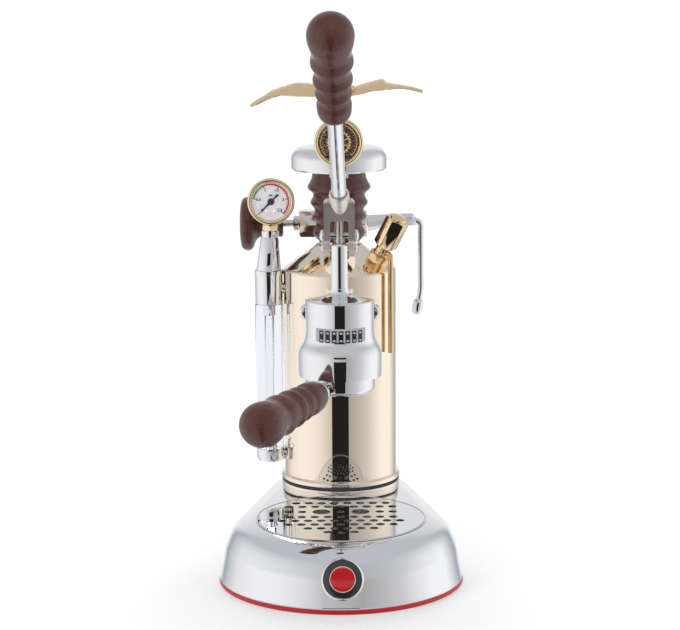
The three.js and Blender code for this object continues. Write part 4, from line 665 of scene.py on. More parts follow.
enamel = Finish("badge enamel", (0.02, 0.02, 0.022), 0.12, Coat_Weight=0.6, Coat_Roughness=0.05)
spot = enamel.place(badge_place)
reach = enamel.node("ShaderNodeVectorMath", {"operation": "LENGTH"}, {
    0: enamel.node("ShaderNodeVectorMath", {"operation": "MULTIPLY"}, {0: spot, 1: (1, 1, 0)}),
}, 1)
red_radius = 9.7
border = 0.55
speckle = enamel.noise(spot, 420.0, 2.0)
red_tone = enamel.blend(speckle, (0.58, 0.012, 0.02), (0.7, 0.02, 0.03))
inner = enamel.blend(reach > red_radius * MM, red_tone, (0.82, 0.82, 0.84))
enamel.set("Base Color", enamel.blend(reach > (red_radius + border) * MM, inner, (0.03, 0.031, 0.034)))
enamel.set("Roughness", enamel.range(speckle, 0.08, 0.16))
disc_radius = rim_inner - 0.1
disc = turned("badge_enamel", [
    (0, -badge_sink), (disc_radius, -badge_sink), (disc_radius, -1.3), (disc_radius - 0.4, -1.0),
    (red_radius + border, -0.85), (red_radius, -0.75), (red_radius / 2, -0.6), (0, -0.55),
])
dress(smooth(place(disc, badge_place), 50), "badge_disc", enamel)
print("badge at height", round(badge_height, 1), "mm")

# %% [markdown]
# ## Tray and grid
#
# The tray is a spun cup with a broad polished rim. The grid is a flat disc with rows of punched holes; two
# of them are larger. The punches are placed row by row, joined into one tool and cut in a single step.

# %% Spin the tray
tray_low, tray_high = heights_of("drip_tray")
tray_radius = radius_of("drip_tray")
grid_radius = radius_of("drip_grid")
grid_low, grid_high = heights_of("drip_grid")
cup_radius = tray_radius - 4.4
cup_wall = 1
rim_under = base_top + 0.1
seat = grid_low - 0.3
tray = turned("drip_tray_spun", [
    (0, tray_low), (cup_radius - 6, tray_low), (cup_radius - 1.8, tray_low + 1.8),
    (cup_radius, tray_low + 6), (cup_radius, rim_under), (tray_radius - 0.3, rim_under),
    (tray_radius, rim_under + 0.15), (tray_radius - 0.5, rim_under + 0.4),
    (grid_radius + 1.2, tray_high - 0.15), (grid_radius + 0.7, tray_high),
    (grid_radius + 0.4, tray_high - 0.25), (grid_radius + 0.3, seat), (cup_radius - cup_wall, seat),
    (cup_radius - cup_wall, tray_low + 6), (cup_radius - 2.5, tray_low + 2.6),
    (cup_radius - 6, tray_low + cup_wall), (0, tray_low + cup_wall),
])
dress(smooth(lift(tray, (tray_axis.x, tray_axis.y, 0)), 40), "drip_tray", steel)

# %% Punch the grid
hole_radius = 3.6
large_hole_radius = 7.5
hole_pitch = 10.7
row_pitch = 11.4
large_row_gap = 15.8
first_row = 45


def spread(count):
    return [(i - (count - 1) / 2) * hole_pitch for i in range(count)]


side_holes = [step * hole_pitch for step in (-4, -3, 0, 3, 4)]
rows = [spread(8), spread(9), side_holes, spread(9), spread(10), spread(9), spread(6), spread(3)]
punches = []
row_y = first_row
for index, row in enumerate(rows):
    holes = [(x, hole_radius) for x in row]
    if index == 2:
        holes += [(-1.5 * hole_pitch, large_hole_radius), (1.5 * hole_pitch, large_hole_radius)]
    for x, radius in holes:
        punch_place = Vector((tray_axis.x + x, tray_axis.y + row_y, (grid_low + grid_high) / 2)) * MM
        punches.append(added("punch", bpy.ops.mesh.primitive_cylinder_add, punch_place,
                             vertices=28, radius=radius * MM, depth=6 * MM))
    row_y -= large_row_gap if index in (1, 2) else row_pitch
punch = joined("punches", *punches)
only(punch)
bpy.ops.object.transform_apply(location=True, rotation=True, scale=True)
grid = drum("drip_grid_punched", grid_radius, grid_low, grid_high, 128)
lift(grid, (tray_axis.x, tray_axis.y, 0))
change(grid, punch)
dress(smooth(grid, 30), "drip_grid", grid_steel)
print(len(punches), "holes punched")

# %% [markdown]
# ## The boiler
#
# A gold-plated vessel stands in a stepped foot: a collar, a dark gasket and a flange. The side is a true
# cylinder with a small round shoulder, and a cone closes it up to the filler neck.

# %% Turn the foot
collar_low, collar_high = heights_of("base_collar")
collar_radius = radius_of("base_collar")
collar_bore = collar_radius - 6
collar = turned("collar_ring", [
    (collar_bore, collar_low), (collar_radius, collar_low), (collar_radius, collar_high),
    (collar_bore, collar_high), (collar_bore, collar_low),
])
dress(smooth(soften(collar, 1.0, 4), 40), "base_collar", champagne)
gasket_low, gasket_high = heights_of("flange_gasket")
gasket_radius = radius_of("flange_gasket")
half_gasket = (gasket_high - gasket_low) / 2
gasket = turned("gasket_ring", [
    (collar_bore, gasket_low), (gasket_radius - half_gasket, gasket_low),
    *arc(gasket_radius - half_gasket, gasket_low + half_gasket, half_gasket,
         math.radians(-75), math.radians(75), 10),
    (gasket_radius - half_gasket, gasket_high), (collar_bore, gasket_high), (collar_bore, gasket_low),
])
dress(smooth(gasket, 50), "flange_gasket", blue_fibre)

# %% Turn the vessel
vessel_low, vessel_high = heights_of("boiler_vessel")
vessel_radius = 48.6
flange_top = vessel_low + 5.2
shoulder_height = 238.6
shoulder_round = 4
neck_radius = 20.2
neck_bore = 14.5
wall = 1.5
cone_angle = math.atan2(vessel_high - shoulder_height, vessel_radius - neck_radius)
shoulder_arc = arc(vessel_radius - shoulder_round, shoulder_height - shoulder_round * 0.45,
                   shoulder_round, 0, math.pi / 2 - cone_angle, 8)
vessel = turned("boiler_shell", [
    (vessel_radius - wall, vessel_low), (collar_radius - 1, vessel_low), (collar_radius, vessel_low + 1),
    (collar_radius, flange_top - 1.6), (collar_radius - 0.5, flange_top - 0.7),
    (collar_radius - 1.4, flange_top), (vessel_radius + 0.2, flange_top), (vessel_radius, flange_top + 0.3),
    *shoulder_arc, (neck_radius + 0.4, vessel_high - 0.5), (neck_radius - 0.3, vessel_high),
    (neck_bore, vessel_high), (neck_bore, vessel_high - 6), (neck_bore + wall, vessel_high - 6 - wall),
    (vessel_radius - wall, shoulder_height - 2), (vessel_radius - wall, vessel_low),
], 144)
dress(smooth(vessel, 32), "boiler_vessel", champagne)
keep("element_plate", plated("machined brass", (0.72, 0.58, 0.32), 0.2))
keep("heating_element", steel)
print("vessel", round((vessel_high - vessel_low), 1), "mm high")

# %% [markdown]
# ## Filler cap, column and dome
#
# The cap is a gold plug that carries a turned column with sharp beads, a chrome dome and a gilt bird
# with raised wings. The column's outline is a run of beads and coves, each a little wider than the last.

# %% Turn the cap
plug_low, plug_high = heights_of("cap_plug")
plug_radius = radius_of("cap_plug")
plug_body = 13.9
plug_flange = plug_high - 2.2
plug = turned("plug_turned", [
    (0, plug_low), (plug_body - 0.8, plug_low), (plug_body, plug_low + 0.8), (plug_body, plug_flange),
    (plug_radius, plug_flange), (plug_radius, plug_high), (0, plug_high),
])
dress(smooth(soften(plug, 0.4), 40), "cap_plug", champagne)
washer_low, washer_high = heights_of("cap_gasket")
washer = turned("washer_cut", [
    (plug_body + 0.3, washer_low), (radius_of("cap_gasket"), washer_low),
    (radius_of("cap_gasket"), washer_high), (plug_body + 0.3, washer_high),
    (plug_body + 0.3, washer_low),
])
dress(smooth(washer), "cap_gasket", white_seal)

column_low, column_high = heights_of("cap_column")
bead = radius_of("cap_column")
column_shape = [
    (0.67, 0.0), (0.7, 0.012), (0.765, 0.045), (0.81, 0.08), (0.822, 0.108), (0.81, 0.137),
    (0.765, 0.172), (0.733, 0.22), (0.75, 0.262), (0.81, 0.296), (0.848, 0.318), (0.862, 0.341),
    (0.848, 0.364), (0.808, 0.388), (0.774, 0.42), (0.79, 0.455), (0.85, 0.49), (0.893, 0.514),
    (0.908, 0.539), (0.893, 0.564), (0.852, 0.592), (0.82, 0.635), (0.85, 0.675), (0.93, 0.708),
    (0.98, 0.732), (0.996, 0.756), (0.98, 0.785), (0.93, 0.82), (0.87, 0.88), (0.845, 0.94), (0.84, 1.0),
]
column_side = curve_through(
    [(bead * r, column_low + (column_high - column_low) * h) for r, h in column_shape], 4)
column = turned("column_turned", [(0, column_low), *column_side, (0, column_high)])
dress(smooth(column, 50), "cap_column", wood("column wood", Matrix.Identity(4)))

dome_low, dome_high = heights_of("cap_dome")
dome_radius = radius_of("cap_dome")
dome_corner = 10.4
dome_crown = 1.8
corner_top = dome_high - dome_crown
dome_arc = arc(dome_radius - dome_corner, corner_top - dome_corner, dome_corner, 0, math.pi / 2, 10)
crown_run = curve_through([
    dome_arc[-1], ((dome_radius - dome_corner) * 0.66, corner_top + dome_crown * 0.55),
    ((dome_radius - dome_corner) * 0.33, corner_top + dome_crown * 0.9), (0, dome_high),
], 5)
dome = turned("dome_spun", [
    (0, dome_low), (dome_radius - 2.2, dome_low), (dome_radius - 0.8, dome_low + 0.35),
    (dome_radius, dome_low + 1.7), (dome_radius - 0.15, dome_low + 2.6), *dome_arc, *crown_run[1:],
], 128)
dress(smooth(dome, 40), "cap_dome", chrome)
print("column beads and dome turned")

# %% [markdown]
# ## The gilt bird
#
# The bird is a traditional cast ornament. Each wing starts as a flat grid that is lofted along its span
# and given one even thickness, with long overlapping feathers pressed into it. The body, head, beak and
# tail are simple rounded forms, blended by a remesh so that they read as one casting.

# %% Shape one wing
finial_low, finial_high = box("eagle_finial")
wing_reach = 76
wing_shift = 1.9
wing_rise = finial_low.z + 46.2
wing_droop = 12.3
wing_chord = 22
wing_front = 11.4
wing_thickness = 1.1
# Each station gives the share of the span, the lift and the height of the wing there.
left_wing = [(-0.04, 0, 0.82), (0.29, -0.05, 0.97), (0.48, 0, 1), (0.66, -0.11, 0.66), (0.77, -0.32, 0.6),
             (0.86, -0.63, 0.47), (0.93, -0.85, 0.45), (1, -1.08, 0.27)]
right_wing = [(-0.04, 0, 0.8), (0.13, -0.18, 0.63), (0.26, 0.02, 0.76), (0.36, 0.2, 0.74),
              (0.48, 0.31, 0.86), (0.53, 0.2, 0.57), (0.66, 0.16, 0.35), (0.78, 0.03, 0.22),
              (0.91, -0.19, 0.15)]
feather_count = 9
span_steps = 120
chord_steps = 26


def along_wing(stations, share):
    """Reach, lift and height of the wing at a share of its span, from its few stations."""
    position = share * (len(stations) - 1)
    first = min(int(position), len(stations) - 2)
    t = position - first
    ease = t * t * (3 - 2 * t) * 0.35 + t * 0.65
    return [a + (b - a) * ease for a, b in zip(stations[first], stations[first + 1])]


def shaped_wing(name, side, stations):
    sheet = added(name, bpy.ops.mesh.primitive_grid_add, x_subdivisions=span_steps,
                  y_subdivisions=chord_steps, size=1)
    for vertex in sheet.data.vertices:
        share = vertex.co.x + 0.5
        across = 2 * vertex.co.y
        reach, lift_share, height = along_wing(stations, share)
        run = wing_chord / 2 * math.sqrt(height)
        climb = max(wing_front * height / 2 - wing_thickness, 0.5)
        feather = share * feather_count
        edge = abs(feather - round(feather)) * 2
        trailing = max(0.0, across)
        scallop = trailing * (edge ** 2) * 2.2
        groove = -0.55 * max(0.0, 1 - 7 * (1 - edge)) * (0.3 + 0.7 * trailing)
        camber = 1.2 * (1 - across * across)
        vertex.co = [MM * c for c in (
            reach * (side * wing_reach + wing_shift), across * run - scallop,
            wing_rise + lift_share * wing_droop + across * climb + camber + groove,
        )]
    modified(sheet, "SOLIDIFY", thickness=wing_thickness * MM, offset=0)
    bpy.ops.object.mode_set(mode="EDIT")
    tidy_mesh()
    return sheet


wings = [shaped_wing("wing_right", 1, right_wing), shaped_wing("wing_left", -1, left_wing)]
print("wings shaped")

# %% Add body, head, beak and tail
body_radius = 11.2
body_height = finial_high.z - finial_low.z


def rounded_form(radii, middle, tilt=0.0):
    sphere_add = bpy.ops.mesh.primitive_uv_sphere_add
    form = added("rounded form", sphere_add, segments=40, ring_count=24, radius=MM)
    turn = Euler((tilt, 0, 0)).to_matrix().to_4x4()
    return place(form, Matrix.Translation(Vector(middle)) @ turn @ Matrix.Diagonal((*radii, 1)))


stand = turned("bird_stand", [
    (0, 0), (7, 0), (7.3, 0.8), (6.6, 2), (3.2, 3.6), (2.6, 6),
    (4.2, 8.5), (3, 12), (0, 13),
], 48)
lift(stand, (0, 0, finial_low.z))
torso = rounded_form((body_radius * 0.78, body_radius * 0.9, body_height * 0.26),
                     (0, 0.5, finial_low.z + body_height * 0.5), 0.16)
breast = rounded_form((body_radius * 0.74, body_radius * 0.62, body_height * 0.16),
                      (0, -4.2, finial_low.z + body_height * 0.6), 0.1)
neck = rounded_form((4.9, 5.2, 8.5), (0, -3.2, finial_low.z + body_height * 0.78), 0.2)
head = rounded_form((4.5, 5.6, 4.4), (0, -5.2, finial_low.z + body_height * 0.905))
tail = rounded_form((6.2, 11, 1.9), (0, 9.5, finial_low.z + body_height * 0.27), -0.85)
shoulders = rounded_form((16, 8.2, 4.6), (0, 0.5, wing_rise + 0.2))
legs = [rounded_form((2.3, 2.6, 6.5), (x, -0.8, finial_low.z + body_height * 0.25)) for x in (-3.4, 3.4)]
beak = added("beak", bpy.ops.mesh.primitive_cone_add, vertices=24, radius1=2.1 * MM, radius2=0.3 * MM,
             depth=5.6 * MM)
place(beak, aimed((0, -11.3, finial_low.z + body_height * 0.885), (0, -1, -0.42)))
core = joined("bird", stand, torso, breast, neck, head, tail, shoulders, *legs, beak)
modified(core, "REMESH", mode="VOXEL", voxel_size=0.42 * MM)
modified(core, "SMOOTH", iterations=8)
bird = joined("gilt_bird", core, *wings)
plumage = plated("gilt plumage", (0.97, 0.76, 0.48), 0.16, tint=(0.92, 0.66, 0.36))
spot = plumage.place(scale=(1, 0.7, 1))
barbs = plumage.node("ShaderNodeTexWave", {"bands_direction": "X"}, {
    "Vector": spot, "Scale": 260.0, "Distortion": 3.0, "Detail": 2.0,
})
scales = plumage.node("ShaderNodeTexVoronoi", {}, {"Vector": spot, "Scale": 330.0})
plumage.bump(barbs * 0.5 + scales * 0.8, 0.6, 0.4)
dress(smooth(bird, 60), "eagle_finial", plumage)
print("bird", len(bird.data.polygons), "faces")

# %% [markdown]
# ## The group
#
# The group is a bell, a cylinder and a slim neck, all mirror chrome. Its profile is drawn from the bell's
# lip up; a lug behind the neck carries the pivot of the lever, and the neck is slotted for the cross pin.

# %% Turn the group
lip, group_high = heights_of("group_body")
bell = radius_of("group_body")
shoulder_z = lip + 16.6
cylinder_radius = 28.3
cylinder_foot = lip + 29.3
rim_z = lip + 62.2
neck_foot = rim_z + 11.6
neck_top = 273.2
rod_bore = 4.9
bell_flare = curve_through([
    (bell, shoulder_z - 1), (bell - 0.6, shoulder_z + 2.8), (bell - 2, shoulder_z + 6.6),
    (bell - 4.6, shoulder_z + 10.6), (cylinder_radius + 0.6, shoulder_z + 14.6),
    (cylinder_radius, shoulder_z + 18.6),
], 6)
rim_round = 1.3
rim_arc = arc(cylinder_radius - rim_round, rim_z - rim_round, rim_round, 0, math.pi / 2, 6)
roof = curve_through([
    (cylinder_radius - rim_round - 0.5, rim_z + 0.1), (cylinder_radius * 0.9, rim_z + 0.6),
    (cylinder_radius * 0.7, rim_z + 1.5), (cylinder_radius * 0.5, rim_z + 2.5),
    (cylinder_radius * 0.354, rim_z + 3.7), (cylinder_radius * 0.29, rim_z + 5.6),
    (cylinder_radius * 0.262, rim_z + 9), (7.2, neck_foot), (7.1, neck_top - 5.2),
    (6.9, neck_top - 3.2), (6.3, neck_top - 1.2), (5.2, neck_top),
], 6)
group = turned("group_casting", [
    (rod_bore, neck_top), (rod_bore, rim_z - 5.2), (23.7, rim_z - 5.2), (23.7, lip + 10.5),
    (31.2, lip + 10.5), (31.2, lip - 0.8), (31.7, lip - 1.3), (bell - 0.9, lip - 1.3),
    (bell - 0.2, lip - 1), (bell, lip - 0.3), *bell_flare, *rim_arc, *roof,
    (rod_bore, neck_top),
], 128)
lift(group, (0, group_axis.y, 0))
slot_half = 2.85
slot_foot = group_high - 30.7
slot_tool = place(block(), Matrix.Translation(Vector((0, group_axis.y, (slot_foot + group_high + 4) / 2)))
                  @ Matrix.Diagonal((30, 2 * slot_half, group_high + 4 - slot_foot, 1)))
change(group, slot_tool)
print("group turned")


# %% Add the lug that carries the pivot
def hull(points):
    """The convex outline round a set of points in a plane."""
    ordered = sorted(points)

    def half(run):
        chain = []
        for p in run:
            while len(chain) > 1:
                (ax, ay), (bx, by) = chain[-2], chain[-1]
                if (bx - ax) * (p[1] - ay) - (by - ay) * (p[0] - ax) > 0:
                    break
                chain.pop()
            chain.append(p)
        return chain[:-1]

    return half(ordered) + half(ordered[::-1])


def circle(x, y, radius, steps=40):
    return arc(x, y, radius, 0, 2 * math.pi, steps)[:-1]


def side_plate(name, outline, half_width):
    """An outline in Y and Z, extruded across X to both sides."""
    plate = slab(name, outline, -half_width, half_width)
    swap = Matrix(((0, 0, 1, 0), (1, 0, 0, 0), (0, 1, 0, 0), (0, 0, 0, 1)))
    return place(plate, swap)


pivot = middle_of("fulcrum_pin")
lug_radius = 6.5
lug_half = 4
lug_outline = hull(
    circle(pivot.y, pivot.z, lug_radius)
    + [(group_axis.y + 6.1, rim_z - 0.8), (group_axis.y + 24, rim_z - 0.8), (group_axis.y + 6.1, pivot.z)]
)
lug = side_plate("pivot_lug", lug_outline, lug_half)
soften(lug, 0.8, 3, 50)
group = joined("group_casting", group, lug)
dress(smooth(group, 34), "group_body", chrome)
print("pivot at", [round(c, 1) for c in pivot])

# %% [markdown]
# ## Flange, bolts and temperature strip
#
# The group bolts to the boiler through a flange with two ears. On the front of the cylinder a film strip
# shows the temperature in seven dark cells, each with small pale marks above and below.

# %% Shape the flange and its bolts
flange_low, flange_high = box("group_flange")
flange_z = (flange_low.z + flange_high.z) / 2
ear_radius = 7.6
ear_reach = (flange_high.x - flange_low.x) / 2 - ear_radius
flange_front = flange_low.y
flange_outline = hull(circle(-ear_reach, flange_z, ear_radius) + circle(ear_reach, flange_z, ear_radius))
ears = place(slab("flange_ears", flange_outline, -flange_high.y, -flange_front), stand_up)
soften(ears, 2.5, 6, 50)
hub = place(slab("flange_hub", circle(0, flange_z, 17, 64), -flange_high.y, -flange_front), stand_up)
vessel_space = drum("vessel space", vessel_radius + 0.2, 150, 234, 128)
flange = change(ears, hub, "UNION")
change(flange, vessel_space)
group_space = lift(turned("group space", [
    (0, 150), (bell + 0.2, 150), (bell + 0.2, shoulder_z), (cylinder_radius + 0.6, cylinder_foot),
    (cylinder_radius + 0.2, 240), (0, 240),
], 128), (0, group_axis.y, 0))
change(flange, group_space)
soften(flange, 0.7, 3, 50)
dress(smooth(flange, 34), "group_flange", chrome)
for bolt_name in ("flange_bolt_left", "flange_bolt_right"):
    bolt_low, bolt_high = box(bolt_name)
    bolt_middle = (bolt_low + bolt_high) / 2
    head_length = 4
    head = hexagon(bolt_name + "_head", 9, 0, head_length, 0.9)
    shank = drum("shank", 2.6, -9, 0.2, 32)
    bolt = joined(bolt_name + "_made", head, shank)
    place(bolt, aimed((bolt_middle.x, bolt_low.y + head_length, bolt_middle.z), (0, -1, 0)))
    dress(smooth(bolt, 30), bolt_name, bright_nickel)
keep("group_gasket", black_rubber)
keep("shower_screen", steel)
keep("piston", black_plastic)
keep("piston_seal_lower", seal_lip)
keep("piston_seal_upper", seal_lip)
print("flange, bolts and inner pieces dressed")

# %% Print the temperature strip
strip_top = heights_of("thermometer_strip")[1]
strip_bottom = strip_top - 13.1
strip_half_angle = math.radians(44)
strip_inner = cylinder_radius + 0.25
strip_outer = cylinder_radius + 0.7


def arc_band(name, inner, outer, start, stop, low, high, steps):
    band = arc(0, 0, outer, start, stop, steps) + arc(0, 0, inner, stop, start, steps)
    return lift(slab(name, band, low, high), (0, group_axis.y, 0))


front_angle = math.radians(-88.2)
strip = arc_band("temperature_strip", strip_inner, strip_outer, front_angle - strip_half_angle,
                 front_angle + strip_half_angle, strip_bottom, strip_top, 72)
film = moulded("silver film", (0.58, 0.6, 0.62), 0.32)
dress(smooth(strip, 40), "thermometer_strip", film)
cell_count = 7
cell_pitch = math.radians(11.0)
cell_half = math.radians(3.9)
cell_margin = 1.5
cell_finish = moulded("dark film cell", (0.012, 0.013, 0.016), 0.28)
mark_finish = moulded("pale print", (0.6, 0.62, 0.64), 0.5)
for i in range(cell_count):
    angle = front_angle + (i - (cell_count - 1) / 2) * cell_pitch
    cell = arc_band(f"strip_cell_{i + 1}", strip_outer - 0.05, strip_outer + 0.12, angle - cell_half,
                    angle + cell_half, strip_bottom + cell_margin, strip_top - cell_margin, 8)
    dress(smooth(soften(cell, 0.08, 2, 60), 40), "thermometer_strip", cell_finish, replaces=False)
    for k, level in enumerate((strip_top - 4.2, strip_bottom + 2.7)):
        mark = arc_band(f"strip_mark_{i + 1}_{k + 1}", strip_outer + 0.1, strip_outer + 0.18,
                        angle - cell_half * 0.55, angle + cell_half * 0.55, level, level + 1.5, 4)
        dress(mark, "thermometer_strip", mark_finish, replaces=False)
print(cell_count, "cells on the strip")

# %% [markdown]
# ## Piston rod and pins
#
# The rod comes up through the neck, carries the cross pin that the fork pulls, and ends in a hexagon below
# the small gauge. The pins have domed heads outside the arms of the fork.

# %% Turn the rod and the pins
rod_low, rod_high = heights_of("piston_rod")
rod_hex_height = 4.4
rod_hex_foot = rod_high - rod_hex_height
rod_radius = 4.55
rod_upper_radius = 3.7
rod = turned("rod_turned", [
    (0, rod_low), (3.4, rod_low), (3.4, rod_low + 11.6), (rod_radius, rod_low + 11.7),
    (rod_radius, neck_top + 0.2),
    *curve_through([(rod_radius, neck_top + 0.4), (4.15, neck_top + 3), (3.85, neck_top + 7),
                    (rod_upper_radius, neck_top + 13)], 5),
    (rod_upper_radius, rod_hex_foot - 1.4), (4.7, rod_hex_foot), (0, rod_hex_foot),
], 64)
rod_hex = hexagon("rod_hex", 15.2, rod_hex_foot, rod_high, 0.9)
rod = lift(joined("rod_made", rod, rod_hex), (0, group_axis.y, 0))
dress(smooth(rod, 34), "piston_rod", nickel)


def domed_pin(node, name, shaft, head_radius):
    low, high = box(node)
    middle = (low + high) / 2
    reach = (high.x - low.x) / 2
    fork_face = 12.95
    dome_depth = reach - fork_face
    head = [(shaft, fork_face), (head_radius - 0.3, fork_face), (head_radius, fork_face + 0.3),
            (head_radius, fork_face + dome_depth * 0.3)]
    head += [(head_radius * x, fork_face + dome_depth * (0.3 + 0.7 * y))
             for x, y in arc(0, 0, 1, 0, math.pi / 2, 6)[1:-1]] + [(0, reach)]
    mirrored = [(r, -h) for r, h in reversed(head)]
    pin = turned(name, mirrored + head, 64)
    return place(pin, aimed(middle, (1, 0, 0)))


dress(smooth(domed_pin("piston_pin", "cross_pin", 2.5, 5), 50), "piston_pin", chrome)
dress(smooth(domed_pin("fulcrum_pin", "pivot_pin", 2.5, 3.9), 50), "fulcrum_pin", chrome)
print("rod and pins turned")

# %% [markdown]
# ## The lever
#
# The fork is a satin casting: two arms round the neck of the group, joined by a bridge that carries the
# socket of the bar. It is cut from a side outline and a front outline, as from a block. The bar is
# polished, and the grip is turned with a ball at its end and four beads that get thinner towards the bar.

# %% Cut the fork from its two outlines
fork_half = radius_of("lever_fork")
cross_pin = middle_of("piston_pin")
eye_radius = 7.5
bridge_radius = 5.5
side_outline = hull(circle(pivot.y, pivot.z, eye_radius) + circle(cross_pin.y, cross_pin.z, eye_radius)
                    + circle(pivot.y - 26.5, pivot.z + 30, bridge_radius)
                    + circle(pivot.y - 30.7, pivot.z + 41.5, bridge_radius))
fork = side_plate("fork_cut", side_outline, fork_half)
slot_half_width = 7.5
slot_top = pivot.z + 26.8
shoulder_top = pivot.z + 45
corner = 4.5
inner_corner = 3
foot = heights_of("lever_fork")[0] - 5
front_outline = [
    (-fork_half - 1, foot), (-slot_half_width, foot),
    *arc(-slot_half_width + inner_corner, slot_top - inner_corner, inner_corner, math.pi, math.pi / 2, 8),
    *arc(slot_half_width - inner_corner, slot_top - inner_corner, inner_corner, math.pi / 2, 0, 8),
    (slot_half_width, foot), (fork_half + 1, foot),
    (fork_half + 1, shoulder_top - corner - 2),
    *arc(fork_half - corner, shoulder_top - corner, corner, 0, math.pi / 2, 10),
    *arc(-fork_half + corner, shoulder_top - corner, corner, math.pi / 2, math.pi, 10),
    (-fork_half - 1, shoulder_top - corner - 2),
]
front = place(slab("fork_front", front_outline, -20, 150), stand_up)
change(fork, front, "INTERSECT")
rod_space_front = cross_pin.y - 5.65
# The space is a hair wider than the gap between the arms, so that no two cuts share a plane.
hair = 0.02
rod_space = place(block(), Matrix.Translation(Vector((0, rod_space_front + 30, pivot.z + 20)))
                  @ Matrix.Diagonal((2 * slot_half_width + hair, 60, 120, 1)))
change(fork, rod_space)
slide_direction = Vector((0, cross_pin.y - pivot.y, cross_pin.z - pivot.z)).normalized()
slide_ends = [pivot + slide_direction * reach for reach in (21, 26.2)]
slide_outline = hull([point for end in slide_ends for point in circle(end.y, end.z, 3.55, 28)])
change(fork, side_plate("pin_slot", slide_outline, 25))
change(fork, side_plate("pivot_hole", circle(pivot.y, pivot.z, 2.85, 28), 25))
print("fork", len(fork.data.polygons), "faces")

# %% Add the socket, the bar and the grip
ball_radius = 18.3
socket_rim = Vector((0, pivot.y - 38, pivot.z + 50.3))
elevation, lean = math.radians(48.4), math.radians(1.84)
lever_direction = Vector((-math.sin(lean), -math.cos(elevation), math.sin(elevation))).normalized()
lever_length = 179.2
grip_length = 95.5
ball_middle = socket_rim + lever_direction * lever_length
socket_radius = 8.2
socket_foot_radius = 9
socket_length = 25
bar_clearance = 6.25
socket = turned("fork_socket", [
    (0, -socket_length), (socket_foot_radius - 3, -socket_length),
    (socket_foot_radius - 0.8, 2 - socket_length), (socket_foot_radius, 5 - socket_length),
    (socket_radius, -0.8), (socket_radius - 0.6, 0), (bar_clearance + 0.4, 0), (bar_clearance, -0.4),
    (bar_clearance, -3), (0, -3),
], 64)
place(socket, aimed(socket_rim, lever_direction))
fork = joined("fork_casting", fork, socket)
dress(smooth(fork, 34), "lever_fork", casting)

bar_radius = 6
lever_grip_length = 88
grip_foot = lever_length - lever_grip_length
bar = turned("lever_bar", [
    (0, -2.6), (bar_radius, -2.6), (bar_radius, grip_foot - 0.2),
    (4.2, grip_foot - 0.2), (4.2, grip_foot + 13), (0, grip_foot + 13),
], 64)
place(bar, aimed(socket_rim, lever_direction))
dress(smooth(bar, 40), "lever_arm", chrome)

beads_shape = [
    (0.05, 0.98), (0.1, 0.93), (0.15, 0.868), (0.19, 0.836), (0.215, 0.847), (0.24, 0.877),
    (0.27, 0.905), (0.29, 0.914), (0.305, 0.9), (0.33, 0.84), (0.365, 0.773), (0.4, 0.742),
    (0.425, 0.757), (0.45, 0.798), (0.475, 0.84), (0.492, 0.846), (0.506, 0.828), (0.53, 0.75),
    (0.56, 0.702), (0.585, 0.716), (0.61, 0.752), (0.633, 0.783), (0.647, 0.782), (0.662, 0.752),
    (0.69, 0.686), (0.715, 0.667), (0.74, 0.698), (0.77, 0.746),
]
lever_end_shape = [(0.796, 0.752), (0.838, 0.745), (0.869, 0.72), (0.89, 0.68), (0.909, 0.61)]
holder_end_shape = [(0.81, 0.752), (0.85, 0.742), (0.89, 0.715), (0.92, 0.682), (0.95, 0.628),
                    (0.975, 0.55)]


def turned_grip(name, end_shape, length):
    """The ball is centred on the origin and the grip runs down from it."""
    ball = arc(0, 0, ball_radius, math.pi / 2, 0, 15)
    beads = [(ball_radius * r, -grip_length * s) for s, r in beads_shape + end_shape]
    neck_run = curve_through([(ball_radius, 0), *beads], 3)
    end_radius = ball_radius * 0.44
    end = [(end_radius + 0.5, 0.7 - length), (end_radius - 0.4, -length),
           (bar_radius - 1, -length), (0, 0.1 - length)]
    return turned(name, ball + neck_run[1:] + end)


grip = turned_grip("lever_grip", lever_end_shape, lever_grip_length)
grip_place = aimed(ball_middle, lever_direction)
place(grip, grip_place)
dress(smooth(grip, 60), "lever_handle", wood("lever grip wood", grip_place))
print("ball at", [round(c, 1) for c in ball_middle])

# %% [markdown]
# ## Gauges
#
# Both gauges have the same case: a spun gold cup whose bezel is one round rim. The white dial has a scale
# with tick marks, a green and a red arc and black numbers; the bronze one has an old wheel ornament.

# %% Spin a gauge case
gauge_radius = radius_of("boiler_gauge_case")
dial_radius = radius_of("boiler_gauge_dial")
case_radius = 18.4


